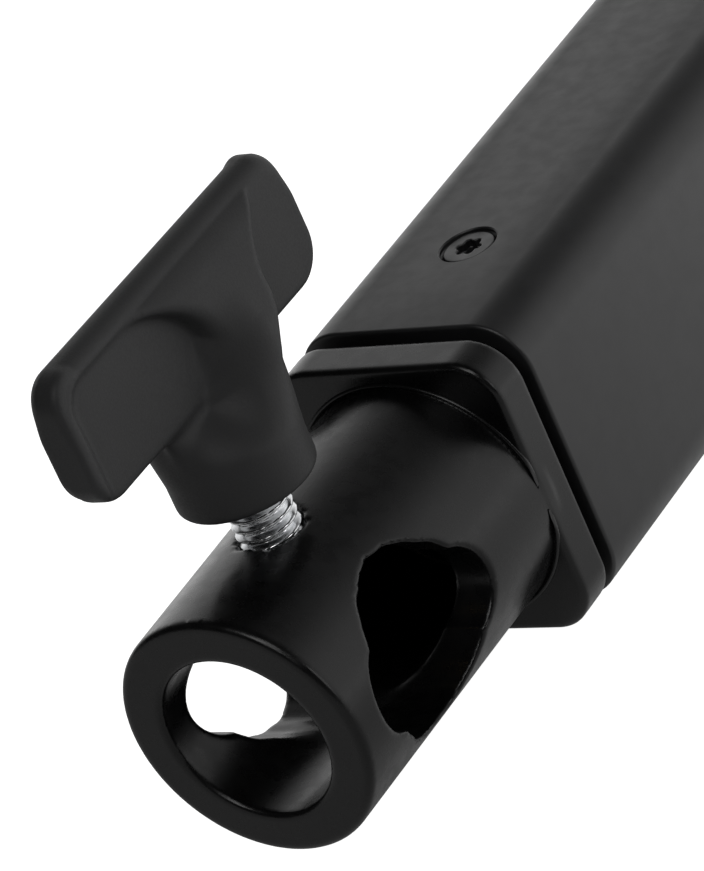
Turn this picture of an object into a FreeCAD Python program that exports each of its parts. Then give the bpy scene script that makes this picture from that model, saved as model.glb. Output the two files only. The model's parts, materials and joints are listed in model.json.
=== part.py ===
import FreeCAD, Part

import math
import os

from FreeCAD import Matrix, Vector

os.makedirs("parts", exist_ok=True)

# A telescoping extension arm for studio stands, in millimetres.
# Origin: centre of the socket's mouth, on the socket's axis.
# +Y runs along the arm, +Z is up, towards the two T-handles.

# How far a cutting shape reaches past the surface that it cuts, and how closely edges are matched
OVERCUT = 1.0
TOLERANCE = 0.01
SMALLEST_CORNER = 0.2

# Stud socket, a drafted round casting
BORE_RADIUS = 8.15
BORE_DEPTH = 36.0
MOUTH_RADIUS = 12.27
ROOT_RADIUS = 12.45
SOCKET_LENGTH = 34.6
MOUTH_ROUND = 0.6
BORE_CHAMFER = 0.35
CROSS_OFFSET = 14.0
CROSS_RADIUS = 8.4
LOBE_RADIUS = 4.6
LOBE_OFFSET = 5.5

# Flange between the socket and the outer tube, and the plug behind it
FLANGE_THICKNESS = 4.3
FLANGE_INSET_X = 0.12
FLANGE_INSET_Z = 0.44
FLANGE_CORNER = 4.6
BEAD_WIDTH = 0.8
BEAD_HEIGHT = 0.35
SHADOW_GAP = 1.3
PLUG_LENGTH = 25.0
PLUG_WALL = 3.5
PLUG_CLEARANCE = 0.1

# Outer tube and the inner tube that slides in it
TUBE_WIDTH = 25.0
TUBE_HEIGHT = 29.8
TUBE_WALL = 1.8
TUBE_CORNER = 5.2
TUBE_LENGTH = 160.0
SLIDE_GAP = 1.2
SLIDE_CLEARANCE = 0.2
INNER_WALL = 1.5
INNER_CORE_CORNER = 0.7
INNER_SHOWING = 17.7
INNER_SET_BACK = 2.0

# Guide collar in the outer tube's rear mouth, and the slider on the inner tube's front end
COLLAR_FLANGE = 4.0
COLLAR_SLEEVE = 26.0
COLLAR_INSET = 0.15
SLIDER_HEAD = 6.0
SLIDER_PLUG = 16.0

# Countersunk M3 screws
SCREW_RADIUS = 1.5
SCREW_LENGTH = 6.0
SCREW_CLEARANCE = 0.05
HOLE_ALLOWANCE = 0.5
HEAD_RADIUS = 2.48
SINK_RADIUS = 2.8
HEAD_RECESS = 0.25
DRIVE_CORE = 1.0
DRIVE_LOBE = 0.34
DRIVE_REACH = 1.02
DRIVE_DEPTH = 0.8
SHANK_CHAMFER = 0.5
SOCKET_SCREW_INSET = 13.8
SLIDER_SCREW_INSET = 8.0
SPIGOT_SCREW_INSET = 9.0

# M6 clamp screw: stud, its swivelling foot and the moulded T-handle
STUD_RADIUS = 3.0
STUD_CLEARANCE = 0.05
STUD_SHOWING = 4.65
STUD_IN_GRIP = 12.0
STUD_HEAD_RADIUS = 4.5
STUD_HEAD_HEIGHT = 4.0
STUD_CHAMFER = 0.5
FOOT_INSET = 0.4
FOOT_HEIGHT = 1.2
FOOT_CHAMFER = 0.2
FOOT_SET_BACK = 0.1
NECK_RADIUS = 1.05
NECK_LENGTH = 0.3
BULB_RADIUS = 1.3
BULB_LENGTH = 0.45
SWIVEL_CLEARANCE = 0.05

# T-handle, measured from the bottom of its hub
HUB_RADIUS = 6.55
HUB_ROUND = 0.5
HUB_SWELL = 1.6
WAIST_HEIGHT = 6.5
NECK_TAPER = 0.4
RIDGE_HEIGHT = 14.9
RIDGE_SWELL = 2.2
RIDGE_TOP = 20.9
RIDGE_FADE = 0.2
WING_BOTTOM = 9.9
WING_TOP = 22.9
WING_REACH = 18.85
WING_TOP_CORNER = 3.1
WING_LOW_CORNER = 3.8
WING_WEB = 4.2
WING_THICKNESS = 4.0
WING_EDGE_ROUND = 0.9
CLAMP_TURN = -1.0
LOCK_TURN = 12.0

# Threaded block that carries the lock screw on top of the outer tube
BLOCK_WIDTH = 14.0
BLOCK_LENGTH = 24.0
BLOCK_HEIGHT = 6.0
BLOCK_CORNER = 3.0
BLOCK_ROUND = 0.8
BLOCK_SCREW_PITCH = 17.0
BLOCK_SCREW_BITE = 0.6
LOCK_FOOT_GAP = 0.3
WALL_HOLE_CLEARANCE = 0.6

# End fitting on the inner tube, and the steel spigot bolted into it
SPIGOT_RADIUS = 7.94
SPIGOT_LENGTH = 38.0
SPIGOT_CHAMFER = 1.2
GROOVE_RADIUS = 6.3
GROOVE_WIDTH = 9.0
GROOVE_FROM_END = 11.0
TAP_RADIUS = 2.55
TAP_DEPTH = 12.0
END_FLANGE = 4.0
END_FLANGE_OVERHANG = 1.4
END_BOSS_RADIUS = 10.6
END_BOSS_LENGTH = 7.0
END_PLUG_LENGTH = 18.0
TAIL_RADIUS = 6.5
SEAT_DEPTH = 6.0
SEAT_CLEARANCE = 0.03
BOLT_RADIUS = 3.0
BOLT_HEAD_RADIUS = 5.0
BOLT_HEAD_HEIGHT = 6.0
BOLT_LENGTH = 16.0
BOLT_CLEARANCE = 0.2
HEX_RADIUS = 2.9
HEX_DEPTH = 3.0
WASHER_RADIUS = 6.0
WASHER_THICKNESS = 1.2

# Places along the arm, worked out from the sizes above
FLANGE_BACK = SOCKET_LENGTH + FLANGE_THICKNESS
TUBE_START = FLANGE_BACK + SHADOW_GAP
TUBE_END = TUBE_START + TUBE_LENGTH
PLUG_END = FLANGE_BACK + PLUG_LENGTH
SLIDER_START = PLUG_END + INNER_SET_BACK
INNER_START = SLIDER_START + SLIDER_HEAD
INNER_END = TUBE_END + COLLAR_FLANGE + INNER_SHOWING
END_FLANGE_BACK = INNER_END + END_FLANGE
SPIGOT_START = END_FLANGE_BACK + END_BOSS_LENGTH
COLLAR_START = TUBE_END - COLLAR_SLEEVE
LOCK_OFFSET = TUBE_END - COLLAR_SLEEVE / 2
BLOCK_SCREW_LENGTH = BLOCK_HEIGHT + TUBE_WALL + BLOCK_SCREW_BITE
FOOT_RADIUS = STUD_RADIUS - FOOT_INSET
TAPPED_RADIUS = STUD_RADIUS + STUD_CLEARANCE

# Sections across the arm: width, height and corner radius
CAVITY = (TUBE_WIDTH - 2 * TUBE_WALL, TUBE_HEIGHT - 2 * TUBE_WALL, TUBE_CORNER - TUBE_WALL)
INNER_TUBE = tuple(size - 2 * SLIDE_GAP for size in CAVITY[:2]) + (CAVITY[2] - SLIDE_GAP,)
INNER_CORE = tuple(size - 2 * INNER_WALL for size in INNER_TUBE[:2]) + (INNER_CORE_CORNER,)
INNER_TOP = INNER_TUBE[1] / 2
ARM_TOP = TUBE_HEIGHT / 2
BLOCK_TOP = ARM_TOP + BLOCK_HEIGHT


def inset(section, amount):
    """A section made smaller by one amount all round."""
    width, height, corner = section
    return width - 2 * amount, height - 2 * amount, max(corner - amount, SMALLEST_CORNER)


def prism(section, start, end):
    """A solid of rounded rectangular section that runs along the arm from start to end."""
    width, height, corner = section
    x = width / 2 - corner
    z = height / 2 - corner
    bow = corner * math.sqrt(0.5)
    edges = []
    for number, (side_x, side_z) in enumerate(((1, 1), (-1, 1), (-1, -1), (1, -1))):
        flat = Vector(side_x * (x + corner), start, side_z * z)
        crown = Vector(side_x * x, start, side_z * (z + corner))
        middle = Vector(side_x * (x + bow), start, side_z * (z + bow))
        first, last = (flat, crown) if number % 2 == 0 else (crown, flat)
        if edges:
            edges.append(Part.LineSegment(edges[-1].EndPoint, first))
        edges.append(Part.Arc(first, middle, last))
    edges.append(Part.LineSegment(edges[-1].EndPoint, edges[0].StartPoint))
    wire = Part.Wire([edge.toShape() for edge in edges])
    return Part.Face(wire).extrude(Vector(0, end - start, 0))


def turned(profile, centre, axis):
    """A solid turned from (radius, distance) points about an axis through centre."""
    points = [Vector(radius, 0, along) for radius, along in profile]
    face = Part.Face(Part.makePolygon(points + points[:1]))
    solid = face.revolve(Vector(0, 0, 0), Vector(0, 0, 1), 360)
    turn = FreeCAD.Rotation(Vector(0, 0, 1), axis)
    solid.Placement = FreeCAD.Placement(centre, turn)
    return solid


def edges_at(shape, reach, offset):
    """Circular edges of one radius whose centres lie at this offset along the arm."""
    found = []
    for edge in shape.Edges:
        curve = edge.Curve
        if isinstance(curve, Part.Circle) and abs(curve.Radius - reach) < TOLERANCE:
            if abs(curve.Center.y - offset) < TOLERANCE:
                found.append(edge)
    return found


# ---- Screws ----

def drive_recess(depth):
    """The six-lobed driver recess, from its mouth at z = 0 down to depth."""
    recess = Part.makeCylinder(DRIVE_CORE, depth, Vector(0, 0, -depth))
    for number in range(6):
        angle = math.radians(60 * number)
        centre = Vector(DRIVE_REACH * math.cos(angle), DRIVE_REACH * math.sin(angle), -depth)
        recess = recess.fuse(Part.makeCylinder(DRIVE_LOBE, depth, centre))
    return recess


def countersunk_screw(length):
    """A countersunk screw that hangs down from a surface at z = 0."""
    taper = HEAD_RADIUS - SCREW_RADIUS
    shank = SCREW_RADIUS
    profile = [(0, -HEAD_RECESS), (HEAD_RADIUS, -HEAD_RECESS), (shank, -HEAD_RECESS - taper),
               (shank, -length + SHANK_CHAMFER), (shank - SHANK_CHAMFER, -length), (0, -length)]
    screw = turned(profile, Vector(0, 0, 0), Vector(0, 0, 1))
    recess = drive_recess(DRIVE_DEPTH)
    recess.translate(Vector(0, 0, -HEAD_RECESS))
    return screw.cut(recess)


def screw_hole(length):
    """The countersunk hole that such a screw goes in."""
    shank = SCREW_RADIUS + SCREW_CLEARANCE
    sink = SINK_RADIUS - shank
    bottom = -length - HOLE_ALLOWANCE
    profile = [(0, OVERCUT), (SINK_RADIUS + OVERCUT, OVERCUT), (shank, -sink), (shank, bottom), (0, bottom)]
    return turned(profile, Vector(0, 0, 0), Vector(0, 0, 1))


def on_top(shape, offset, height):
    """A copy placed on a top surface at this offset along the arm."""
    placed = shape.copy()
    placed.translate(Vector(0, offset, height))
    return placed


def on_bottom(shape, offset, height):
    """A copy turned over and placed on the matching bottom surface."""
    placed = shape.copy()
    placed.rotate(Vector(0, 0, 0), Vector(0, 1, 0), 180)
    placed.translate(Vector(0, offset, -height))
    return placed


def cut_screw_pair(shape, offset, height):
    """Cuts the two screw holes, top and bottom, that pin a tube to its plug."""
    hole = screw_hole(SCREW_LENGTH)
    return shape.cut(on_top(hole, offset, height)).cut(on_bottom(hole, offset, height))


# ---- Socket and outer tube ----

def cross_hole():
    """The lobed hole through both sides of the socket, square to its bore."""
    reach = ROOT_RADIUS + OVERCUT
    start = Vector(-reach, CROSS_OFFSET, 0)
    hole = Part.makeCylinder(CROSS_RADIUS, 2 * reach, start, Vector(1, 0, 0))
    for side in (-1, 1):
        centre = start + Vector(0, side * LOBE_OFFSET, 0)
        hole = hole.fuse(Part.makeCylinder(LOBE_RADIUS, 2 * reach, centre, Vector(1, 0, 0)))
    return hole


def socket_fitting():
    """The cast socket with its flange and the hollow plug that goes in the outer tube."""
    along = Vector(0, 1, 0)
    barrel = Part.makeCone(MOUTH_RADIUS, ROOT_RADIUS, SOCKET_LENGTH, Vector(0, 0, 0), along)
    barrel = barrel.makeFillet(MOUTH_ROUND, edges_at(barrel, MOUTH_RADIUS, 0))
    outline = (TUBE_WIDTH - 2 * FLANGE_INSET_X, TUBE_HEIGHT - 2 * FLANGE_INSET_Z, FLANGE_CORNER)
    flange = prism(outline, SOCKET_LENGTH, FLANGE_BACK)
    bead_start = SOCKET_LENGTH - BEAD_HEIGHT
    bead = Part.makeCylinder(ROOT_RADIUS + BEAD_WIDTH, BEAD_HEIGHT, Vector(0, bead_start, 0), along)
    bead = bead.common(prism(outline, bead_start, SOCKET_LENGTH))
    section = inset(CAVITY, PLUG_CLEARANCE)
    plug = prism(section, FLANGE_BACK, PLUG_END)
    core = prism(inset(section, PLUG_WALL), FLANGE_BACK + PLUG_WALL, PLUG_END + OVERCUT)
    body = barrel.fuse([bead, flange, plug]).cut(core)
    bore = Part.makeCylinder(BORE_RADIUS, BORE_DEPTH + OVERCUT, Vector(0, -OVERCUT, 0), along)
    lead_in = Part.makeCone(BORE_RADIUS + 2 * BORE_CHAMFER, BORE_RADIUS, 2 * BORE_CHAMFER,
                            Vector(0, -BORE_CHAMFER, 0), along)
    tapped = Part.makeCylinder(TAPPED_RADIUS, ROOT_RADIUS + OVERCUT, Vector(0, CROSS_OFFSET, 0))
    body = body.cut([bore, lead_in, cross_hole(), tapped])
    return cut_screw_pair(body, TUBE_START + SOCKET_SCREW_INSET, ARM_TOP)


def arm_tube():
    """The outer rectangular tube, with the holes for its screws and for the lock screw."""
    outside = prism((TUBE_WIDTH, TUBE_HEIGHT, TUBE_CORNER), TUBE_START, TUBE_END)
    tube = outside.cut(prism(CAVITY, TUBE_START - OVERCUT, TUBE_END + OVERCUT))
    tube = cut_screw_pair(tube, TUBE_START + SOCKET_SCREW_INSET, ARM_TOP)
    tube = tube.cut(lock_screw_hole())
    for offset in block_screw_offsets():
        tube = tube.cut(on_top(screw_hole(BLOCK_SCREW_LENGTH), offset, BLOCK_TOP))
    return tube


def lock_screw_hole():
    """The clear hole for the lock screw through the outer tube's wall and the collar."""
    radius = STUD_RADIUS + WALL_HOLE_CLEARANCE
    return Part.makeCylinder(radius, TUBE_WALL + SLIDE_GAP + OVERCUT, Vector(0, LOCK_OFFSET, INNER_TOP))


def guide_collar():
    """The moulded collar that guides the inner tube: a rim behind the tube and a thin sleeve in it."""
    rim_section = inset((TUBE_WIDTH, TUBE_HEIGHT, TUBE_CORNER), COLLAR_INSET)
    rim = prism(rim_section, TUBE_END, TUBE_END + COLLAR_FLANGE)
    sleeve = prism(inset(CAVITY, PLUG_CLEARANCE), COLLAR_START, TUBE_END)
    rim_end = TUBE_END + COLLAR_FLANGE
    opening = prism(inset(INNER_TUBE, -SLIDE_CLEARANCE), COLLAR_START - OVERCUT, rim_end + OVERCUT)
    collar = rim.fuse(sleeve).cut([opening, lock_screw_hole()])
    for offset in block_screw_offsets():
        collar = collar.cut(on_top(screw_hole(BLOCK_SCREW_LENGTH), offset, BLOCK_TOP))
    return collar


# ---- Lock block ----

def block_screw_offsets():
    """Where the two screws of the lock block stand along the arm."""
    return [LOCK_OFFSET + side * BLOCK_SCREW_PITCH / 2 for side in (-1, 1)]


def lock_block():
    """The threaded block for the lock screw, held down on the outer tube by two screws."""
    corner = Vector(-BLOCK_WIDTH / 2, LOCK_OFFSET - BLOCK_LENGTH / 2, ARM_TOP)
    block = Part.makeBox(BLOCK_WIDTH, BLOCK_LENGTH, BLOCK_HEIGHT, corner)
    upright = [edge for edge in block.Edges if abs(edge.tangentAt(edge.FirstParameter).z) > 0.9]
    block = block.makeFillet(BLOCK_CORNER, upright)
    rim = [edge for edge in block.Edges if abs(edge.BoundBox.ZMin - BLOCK_TOP) < TOLERANCE]
    block = block.makeFillet(BLOCK_ROUND, rim)
    underneath = Vector(0, LOCK_OFFSET, ARM_TOP - OVERCUT)
    tapped = Part.makeCylinder(TAPPED_RADIUS, BLOCK_HEIGHT + 2 * OVERCUT, underneath)
    block = block.cut(tapped)
    for offset in block_screw_offsets():
        block = block.cut(on_top(screw_hole(BLOCK_SCREW_LENGTH), offset, BLOCK_TOP))
    return block


# ---- Clamp screw: foot, stud and T-handle, each with the foot's underside at z = 0 ----

def pocket_floor():
    """Height of the floor of the foot's pocket above its underside."""
    lip = NECK_LENGTH - SWIVEL_CLEARANCE
    return FOOT_HEIGHT - lip - BULB_LENGTH - 2 * SWIVEL_CLEARANCE


def screw_foot():
    """The small brass foot that the stud swivels in and that bears on what is clamped."""
    edge = FOOT_RADIUS - FOOT_CHAMFER
    floor = pocket_floor()
    ceiling = floor + BULB_LENGTH + 2 * SWIVEL_CLEARANCE
    pocket = BULB_RADIUS + SWIVEL_CLEARANCE
    lip = NECK_RADIUS + SWIVEL_CLEARANCE
    profile = [(0, 0), (edge, 0), (FOOT_RADIUS, FOOT_CHAMFER), (FOOT_RADIUS, FOOT_HEIGHT), (lip, FOOT_HEIGHT),
               (lip, ceiling), (pocket, ceiling), (pocket, floor), (0, floor)]
    return turned(profile, Vector(0, 0, 0), Vector(0, 0, 1))


def hub_base(surface):
    """Height of the hub's underside above the foot's, for a stud that enters at this surface."""
    return surface + STUD_SHOWING


def screw_stud(surface):
    """The zinc-plated stud, its ball-ended nose in the foot and its head moulded into the hub."""
    low = pocket_floor() + SWIVEL_CLEARANCE
    shoulder = low + BULB_LENGTH
    seat = FOOT_HEIGHT + SWIVEL_CLEARANCE
    top = hub_base(surface) + STUD_IN_GRIP
    head = top - STUD_HEAD_HEIGHT
    profile = [(0, low), (BULB_RADIUS, low), (BULB_RADIUS, shoulder), (NECK_RADIUS, shoulder),
               (NECK_RADIUS, seat), (STUD_RADIUS - STUD_CHAMFER, seat), (STUD_RADIUS, seat + STUD_CHAMFER),
               (STUD_RADIUS, head), (STUD_HEAD_RADIUS, head), (STUD_HEAD_RADIUS, top), (0, top)]
    return turned(profile, Vector(0, 0, 0), Vector(0, 0, 1))


def wing_outline():
    """Corners of the T-handle's side view: centre, radius, first angle and last angle of each round."""
    high = WING_TOP - WING_TOP_CORNER
    low = WING_BOTTOM + WING_LOW_CORNER
    top_centre = WING_REACH - WING_TOP_CORNER
    low_centre = WING_REACH - WING_LOW_CORNER
    web_centre = HUB_RADIUS + WING_WEB
    web_height = WING_BOTTOM - WING_WEB
    return [(top_centre, high, WING_TOP_CORNER, 0, 90), (-top_centre, high, WING_TOP_CORNER, 90, 180),
            (-low_centre, low, WING_LOW_CORNER, 180, 270), (-web_centre, web_height, WING_WEB, 90, 0),
            (web_centre, web_height, WING_WEB, 180, 90), (low_centre, low, WING_LOW_CORNER, 270, 360)]


def wings():
    """The T-handle's two wings and the webs under them, as one rounded plate."""
    rounds = []
    for centre, height, radius, first, last in wing_outline():
        points = []
        for angle in (first, (first + last) / 2, last):
            turn = math.radians(angle)
            points.append(Vector(0, centre + radius * math.cos(turn), height + radius * math.sin(turn)))
        rounds.append(Part.Arc(*points))
    edges = []
    for number, corner in enumerate(rounds):
        edges.append(corner)
        edges.append(Part.LineSegment(corner.EndPoint, rounds[(number + 1) % len(rounds)].StartPoint))
    face = Part.Face(Part.Wire([edge.toShape() for edge in edges]))
    face.translate(Vector(-WING_THICKNESS / 2, 0, 0))
    plate = face.extrude(Vector(WING_THICKNESS, 0, 0))
    rims = [edge for edge in plate.Edges if edge.BoundBox.XLength < TOLERANCE]
    return plate.makeFillet(WING_EDGE_ROUND, rims)


def hub():
    """The T-handle's hub: round below, easing into the wings above."""
    thin = WING_THICKNESS / 2
    wide = HUB_RADIUS + HUB_SWELL
    sections = [(0, HUB_RADIUS - HUB_ROUND, HUB_RADIUS - HUB_ROUND), (HUB_ROUND, HUB_RADIUS, HUB_RADIUS),
                (WAIST_HEIGHT, HUB_RADIUS, HUB_RADIUS), (WING_BOTTOM, wide, HUB_RADIUS - NECK_TAPER),
                (RIDGE_HEIGHT, wide, thin + RIDGE_SWELL), (RIDGE_TOP, HUB_RADIUS, thin + RIDGE_FADE)]
    wires = []
    for height, along, across in sections:
        ring = Part.makeCircle(1.0, Vector(0, 0, 0))
        stretch = Matrix(across, 0, 0, 0, 0, along, 0, 0, 0, 0, 1, height, 0, 0, 0, 1)
        wires.append(Part.Wire([ring.transformGeometry(stretch)]))
    low = Part.makeLoft(wires[:3], True, True)
    return low.fuse(Part.makeLoft(wires[2:], True, False))


def grip(surface):
    """The moulded T-handle, hollow where the stud is moulded in."""
    body = wings().fuse(hub())
    stud_room = Part.makeCylinder(STUD_RADIUS, STUD_IN_GRIP, Vector(0, 0, -OVERCUT))
    head_start = Vector(0, 0, STUD_IN_GRIP - STUD_HEAD_HEIGHT)
    head_room = Part.makeCylinder(STUD_HEAD_RADIUS, STUD_HEAD_HEIGHT, head_start)
    body = body.cut([stud_room, head_room]).removeSplitter()
    body.translate(Vector(0, 0, hub_base(surface)))
    return body


def clamp_screw(prefix, offset, surface, underside, turn):
    """Foot, stud and T-handle of one clamp screw, standing on the arm at this offset.

    surface is the height where the stud goes in and underside is where the foot's face is at rest.
    """
    pieces = {prefix + "_foot": screw_foot(), prefix + "_stud": screw_stud(surface - underside),
              prefix + "_grip": grip(surface - underside)}
    for piece in pieces.values():
        piece.rotate(Vector(0, 0, 0), Vector(0, 0, 1), turn)
        piece.translate(Vector(0, offset, underside))
    return pieces


# ---- Inner tube and its ends ----

def inner_tube():
    """The inner tube, with screw holes for the plugs in its two ends."""
    core = prism(INNER_CORE, INNER_START - OVERCUT, INNER_END + OVERCUT)
    tube = prism(INNER_TUBE, INNER_START, INNER_END).cut(core)
    tube = cut_screw_pair(tube, INNER_START + SLIDER_SCREW_INSET, INNER_TOP)
    return cut_screw_pair(tube, INNER_END - SPIGOT_SCREW_INSET, INNER_TOP)


def slider_plug():
    """The moulded slider in the inner tube's front end, whose head runs in the outer tube."""
    head = prism(inset(CAVITY, SLIDE_CLEARANCE), SLIDER_START, INNER_START)
    plug = prism(inset(INNER_CORE, PLUG_CLEARANCE), INNER_START, INNER_START + SLIDER_PLUG)
    return cut_screw_pair(head.fuse(plug), INNER_START + SLIDER_SCREW_INSET, INNER_TOP)


def spigot_fitting():
    """The cast end of the inner tube: plug, flange and the boss that the spigot sits in."""
    section = inset(INNER_CORE, PLUG_CLEARANCE)
    plug_start = INNER_END - END_PLUG_LENGTH
    plug = prism(section, plug_start, INNER_END)
    flange = prism(inset(INNER_TUBE, -END_FLANGE_OVERHANG), INNER_END, END_FLANGE_BACK)
    along = Vector(0, 1, 0)
    boss = Part.makeCylinder(END_BOSS_RADIUS, END_BOSS_LENGTH, Vector(0, END_FLANGE_BACK, 0), along)
    boss = boss.makeFillet(MOUTH_ROUND, edges_at(boss, END_BOSS_RADIUS, SPIGOT_START))
    seat_floor = Vector(0, SPIGOT_START - SEAT_DEPTH, 0)
    seat = Part.makeCylinder(TAIL_RADIUS + SEAT_CLEARANCE, SEAT_DEPTH + OVERCUT, seat_floor, along)
    outside = Vector(0, plug_start - OVERCUT, 0)
    through = SPIGOT_START - plug_start + 2 * OVERCUT
    bolt_hole = Part.makeCylinder(BOLT_RADIUS + BOLT_CLEARANCE, through, outside, along)
    head_depth = END_PLUG_LENGTH - PLUG_WALL + OVERCUT
    head_room = Part.makeCylinder(WASHER_RADIUS + BOLT_CLEARANCE, head_depth, outside, along)
    body = plug.fuse([flange, boss]).cut([seat, bolt_hole, head_room])
    return cut_screw_pair(body, INNER_END - SPIGOT_SCREW_INSET, INNER_TOP)


def spigot():
    """The grooved steel spigot with a narrower tail in the boss, tapped at both ends."""
    back = SPIGOT_START - SEAT_DEPTH
    end = SPIGOT_START + SPIGOT_LENGTH
    groove_end = end - GROOVE_FROM_END
    groove_start = groove_end - GROOVE_WIDTH
    slope = SPIGOT_RADIUS - GROOVE_RADIUS
    profile = [(0, back), (TAIL_RADIUS, back), (TAIL_RADIUS, SPIGOT_START), (SPIGOT_RADIUS, SPIGOT_START),
               (SPIGOT_RADIUS, groove_start - slope), (GROOVE_RADIUS, groove_start), (GROOVE_RADIUS, groove_end),
               (SPIGOT_RADIUS, groove_end + slope), (SPIGOT_RADIUS, end - SPIGOT_CHAMFER),
               (SPIGOT_RADIUS - SPIGOT_CHAMFER, end), (0, end)]
    body = turned(profile, Vector(0, 0, 0), Vector(0, 1, 0))
    along = Vector(0, 1, 0)
    tail_hole = Part.makeCylinder(BOLT_RADIUS + SCREW_CLEARANCE, BOLT_LENGTH, Vector(0, back, 0), along)
    end_hole = Part.makeCylinder(TAP_RADIUS, TAP_DEPTH, Vector(0, end - TAP_DEPTH, 0), along)
    return body.cut([tail_hole, end_hole])


def washer_seat():
    """Where the spigot bolt's washer bears, inside the end fitting."""
    return INNER_END - PLUG_WALL


def spigot_washer():
    """The plain washer under the spigot bolt's head."""
    start = Vector(0, washer_seat() - WASHER_THICKNESS, 0)
    along = Vector(0, 1, 0)
    disc = Part.makeCylinder(WASHER_RADIUS, WASHER_THICKNESS, start, along)
    return disc.cut(Part.makeCylinder(BOLT_RADIUS + BOLT_CLEARANCE, WASHER_THICKNESS, start, along))


def spigot_bolt():
    """The socket-head bolt that holds the spigot from inside the tube."""
    under_head = washer_seat() - WASHER_THICKNESS
    along = Vector(0, 1, 0)
    head_start = Vector(0, under_head - BOLT_HEAD_HEIGHT, 0)
    bolt = Part.makeCylinder(BOLT_RADIUS, BOLT_LENGTH, Vector(0, under_head, 0), along)
    bolt = bolt.fuse(Part.makeCylinder(BOLT_HEAD_RADIUS, BOLT_HEAD_HEIGHT, head_start, along))
    corners = []
    for number in range(7):
        angle = math.radians(60 * number)
        corners.append(head_start + Vector(HEX_RADIUS * math.cos(angle), 0, HEX_RADIUS * math.sin(angle)))
    key = Part.Face(Part.makePolygon(corners)).extrude(Vector(0, HEX_DEPTH, 0))
    return bolt.cut(key)


def screw_pair(prefix, offset, height):
    """The top and bottom screws that pin one plug in its tube."""
    screw = countersunk_screw(SCREW_LENGTH)
    return {prefix + "_screw_top": on_top(screw, offset, height),
            prefix + "_screw_bottom": on_bottom(screw, offset, height)}


def block_screws():
    """The two screws that hold the lock block and the guide collar."""
    screw = countersunk_screw(BLOCK_SCREW_LENGTH)
    names = ("block_screw_front", "block_screw_rear")
    return {name: on_top(screw, offset, BLOCK_TOP) for name, offset in zip(names, block_screw_offsets())}


def main():
    """Makes every piece and writes each to its own file."""
    clamp_surface = MOUTH_RADIUS + (ROOT_RADIUS - MOUTH_RADIUS) * CROSS_OFFSET / SOCKET_LENGTH
    clamp_rest = max(BORE_RADIUS, CROSS_RADIUS) + FOOT_SET_BACK
    pieces = {"socket_fitting": socket_fitting(), "arm_tube": arm_tube(), "lock_block": lock_block(),
              "guide_collar": guide_collar(), "inner_tube": inner_tube(), "slider_plug": slider_plug(),
              "spigot_fitting": spigot_fitting(), "spigot": spigot(), "spigot_washer": spigot_washer(),
              "spigot_bolt": spigot_bolt()}
    pieces.update(screw_pair("socket", TUBE_START + SOCKET_SCREW_INSET, ARM_TOP))
    pieces.update(screw_pair("slider", INNER_START + SLIDER_SCREW_INSET, INNER_TOP))
    pieces.update(screw_pair("spigot", INNER_END - SPIGOT_SCREW_INSET, INNER_TOP))
    pieces.update(block_screws())
    pieces.update(clamp_screw("clamp", CROSS_OFFSET, clamp_surface, clamp_rest, CLAMP_TURN))
    pieces.update(clamp_screw("lock", LOCK_OFFSET, BLOCK_TOP, INNER_TOP + LOCK_FOOT_GAP, LOCK_TURN))
    for name, shape in pieces.items():
        box = shape.BoundBox
        print(f"{name:22s} solids {len(shape.Solids)} valid {shape.isValid()} volume {shape.Volume:9.1f} "
              f"y {box.YMin:7.2f} {box.YMax:7.2f} z {box.ZMin:7.2f} {box.ZMax:7.2f}")
        shape.exportStep("parts/" + name + ".step")


main()
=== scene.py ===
"""Looks of a telescoping grip arm: cast stud socket, rectangular tubes, T-handle screws and spigot.

Lengths are in millimetres until a mesh is made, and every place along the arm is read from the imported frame.
"""
import json
import logging
import math
from dataclasses import dataclass, field
from enum import Enum
from typing import Callable, Sequence

import bmesh
import bpy
import numpy as np
from mathutils import Matrix, Vector


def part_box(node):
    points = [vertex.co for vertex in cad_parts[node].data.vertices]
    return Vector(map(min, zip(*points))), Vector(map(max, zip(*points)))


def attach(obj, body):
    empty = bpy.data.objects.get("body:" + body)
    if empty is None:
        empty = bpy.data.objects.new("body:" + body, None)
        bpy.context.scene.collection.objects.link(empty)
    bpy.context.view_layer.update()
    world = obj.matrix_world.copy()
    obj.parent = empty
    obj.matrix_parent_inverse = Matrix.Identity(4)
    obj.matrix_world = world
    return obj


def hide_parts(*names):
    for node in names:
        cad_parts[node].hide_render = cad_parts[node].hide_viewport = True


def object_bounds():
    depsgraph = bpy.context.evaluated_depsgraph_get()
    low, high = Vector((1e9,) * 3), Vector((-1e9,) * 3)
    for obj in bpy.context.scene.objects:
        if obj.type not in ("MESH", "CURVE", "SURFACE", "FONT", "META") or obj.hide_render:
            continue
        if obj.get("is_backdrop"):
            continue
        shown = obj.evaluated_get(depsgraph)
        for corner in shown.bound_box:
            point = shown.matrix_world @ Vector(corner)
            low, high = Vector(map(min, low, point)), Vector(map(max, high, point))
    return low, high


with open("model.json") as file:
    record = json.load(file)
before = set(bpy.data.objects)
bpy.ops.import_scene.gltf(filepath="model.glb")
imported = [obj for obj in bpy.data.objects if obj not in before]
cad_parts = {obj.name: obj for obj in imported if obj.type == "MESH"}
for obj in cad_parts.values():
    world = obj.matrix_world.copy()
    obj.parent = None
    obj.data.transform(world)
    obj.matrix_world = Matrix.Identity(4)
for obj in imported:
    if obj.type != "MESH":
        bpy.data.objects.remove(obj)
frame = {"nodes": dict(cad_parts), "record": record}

MM = 0.001
LONGEST_ROUNDING = 0.49
SKIN_MARGIN = 3
ON_AXIS = 0.02
NOISE_MIDDLE = (0.3, 0.7)
log = logging.getLogger("grip_arm")

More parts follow.
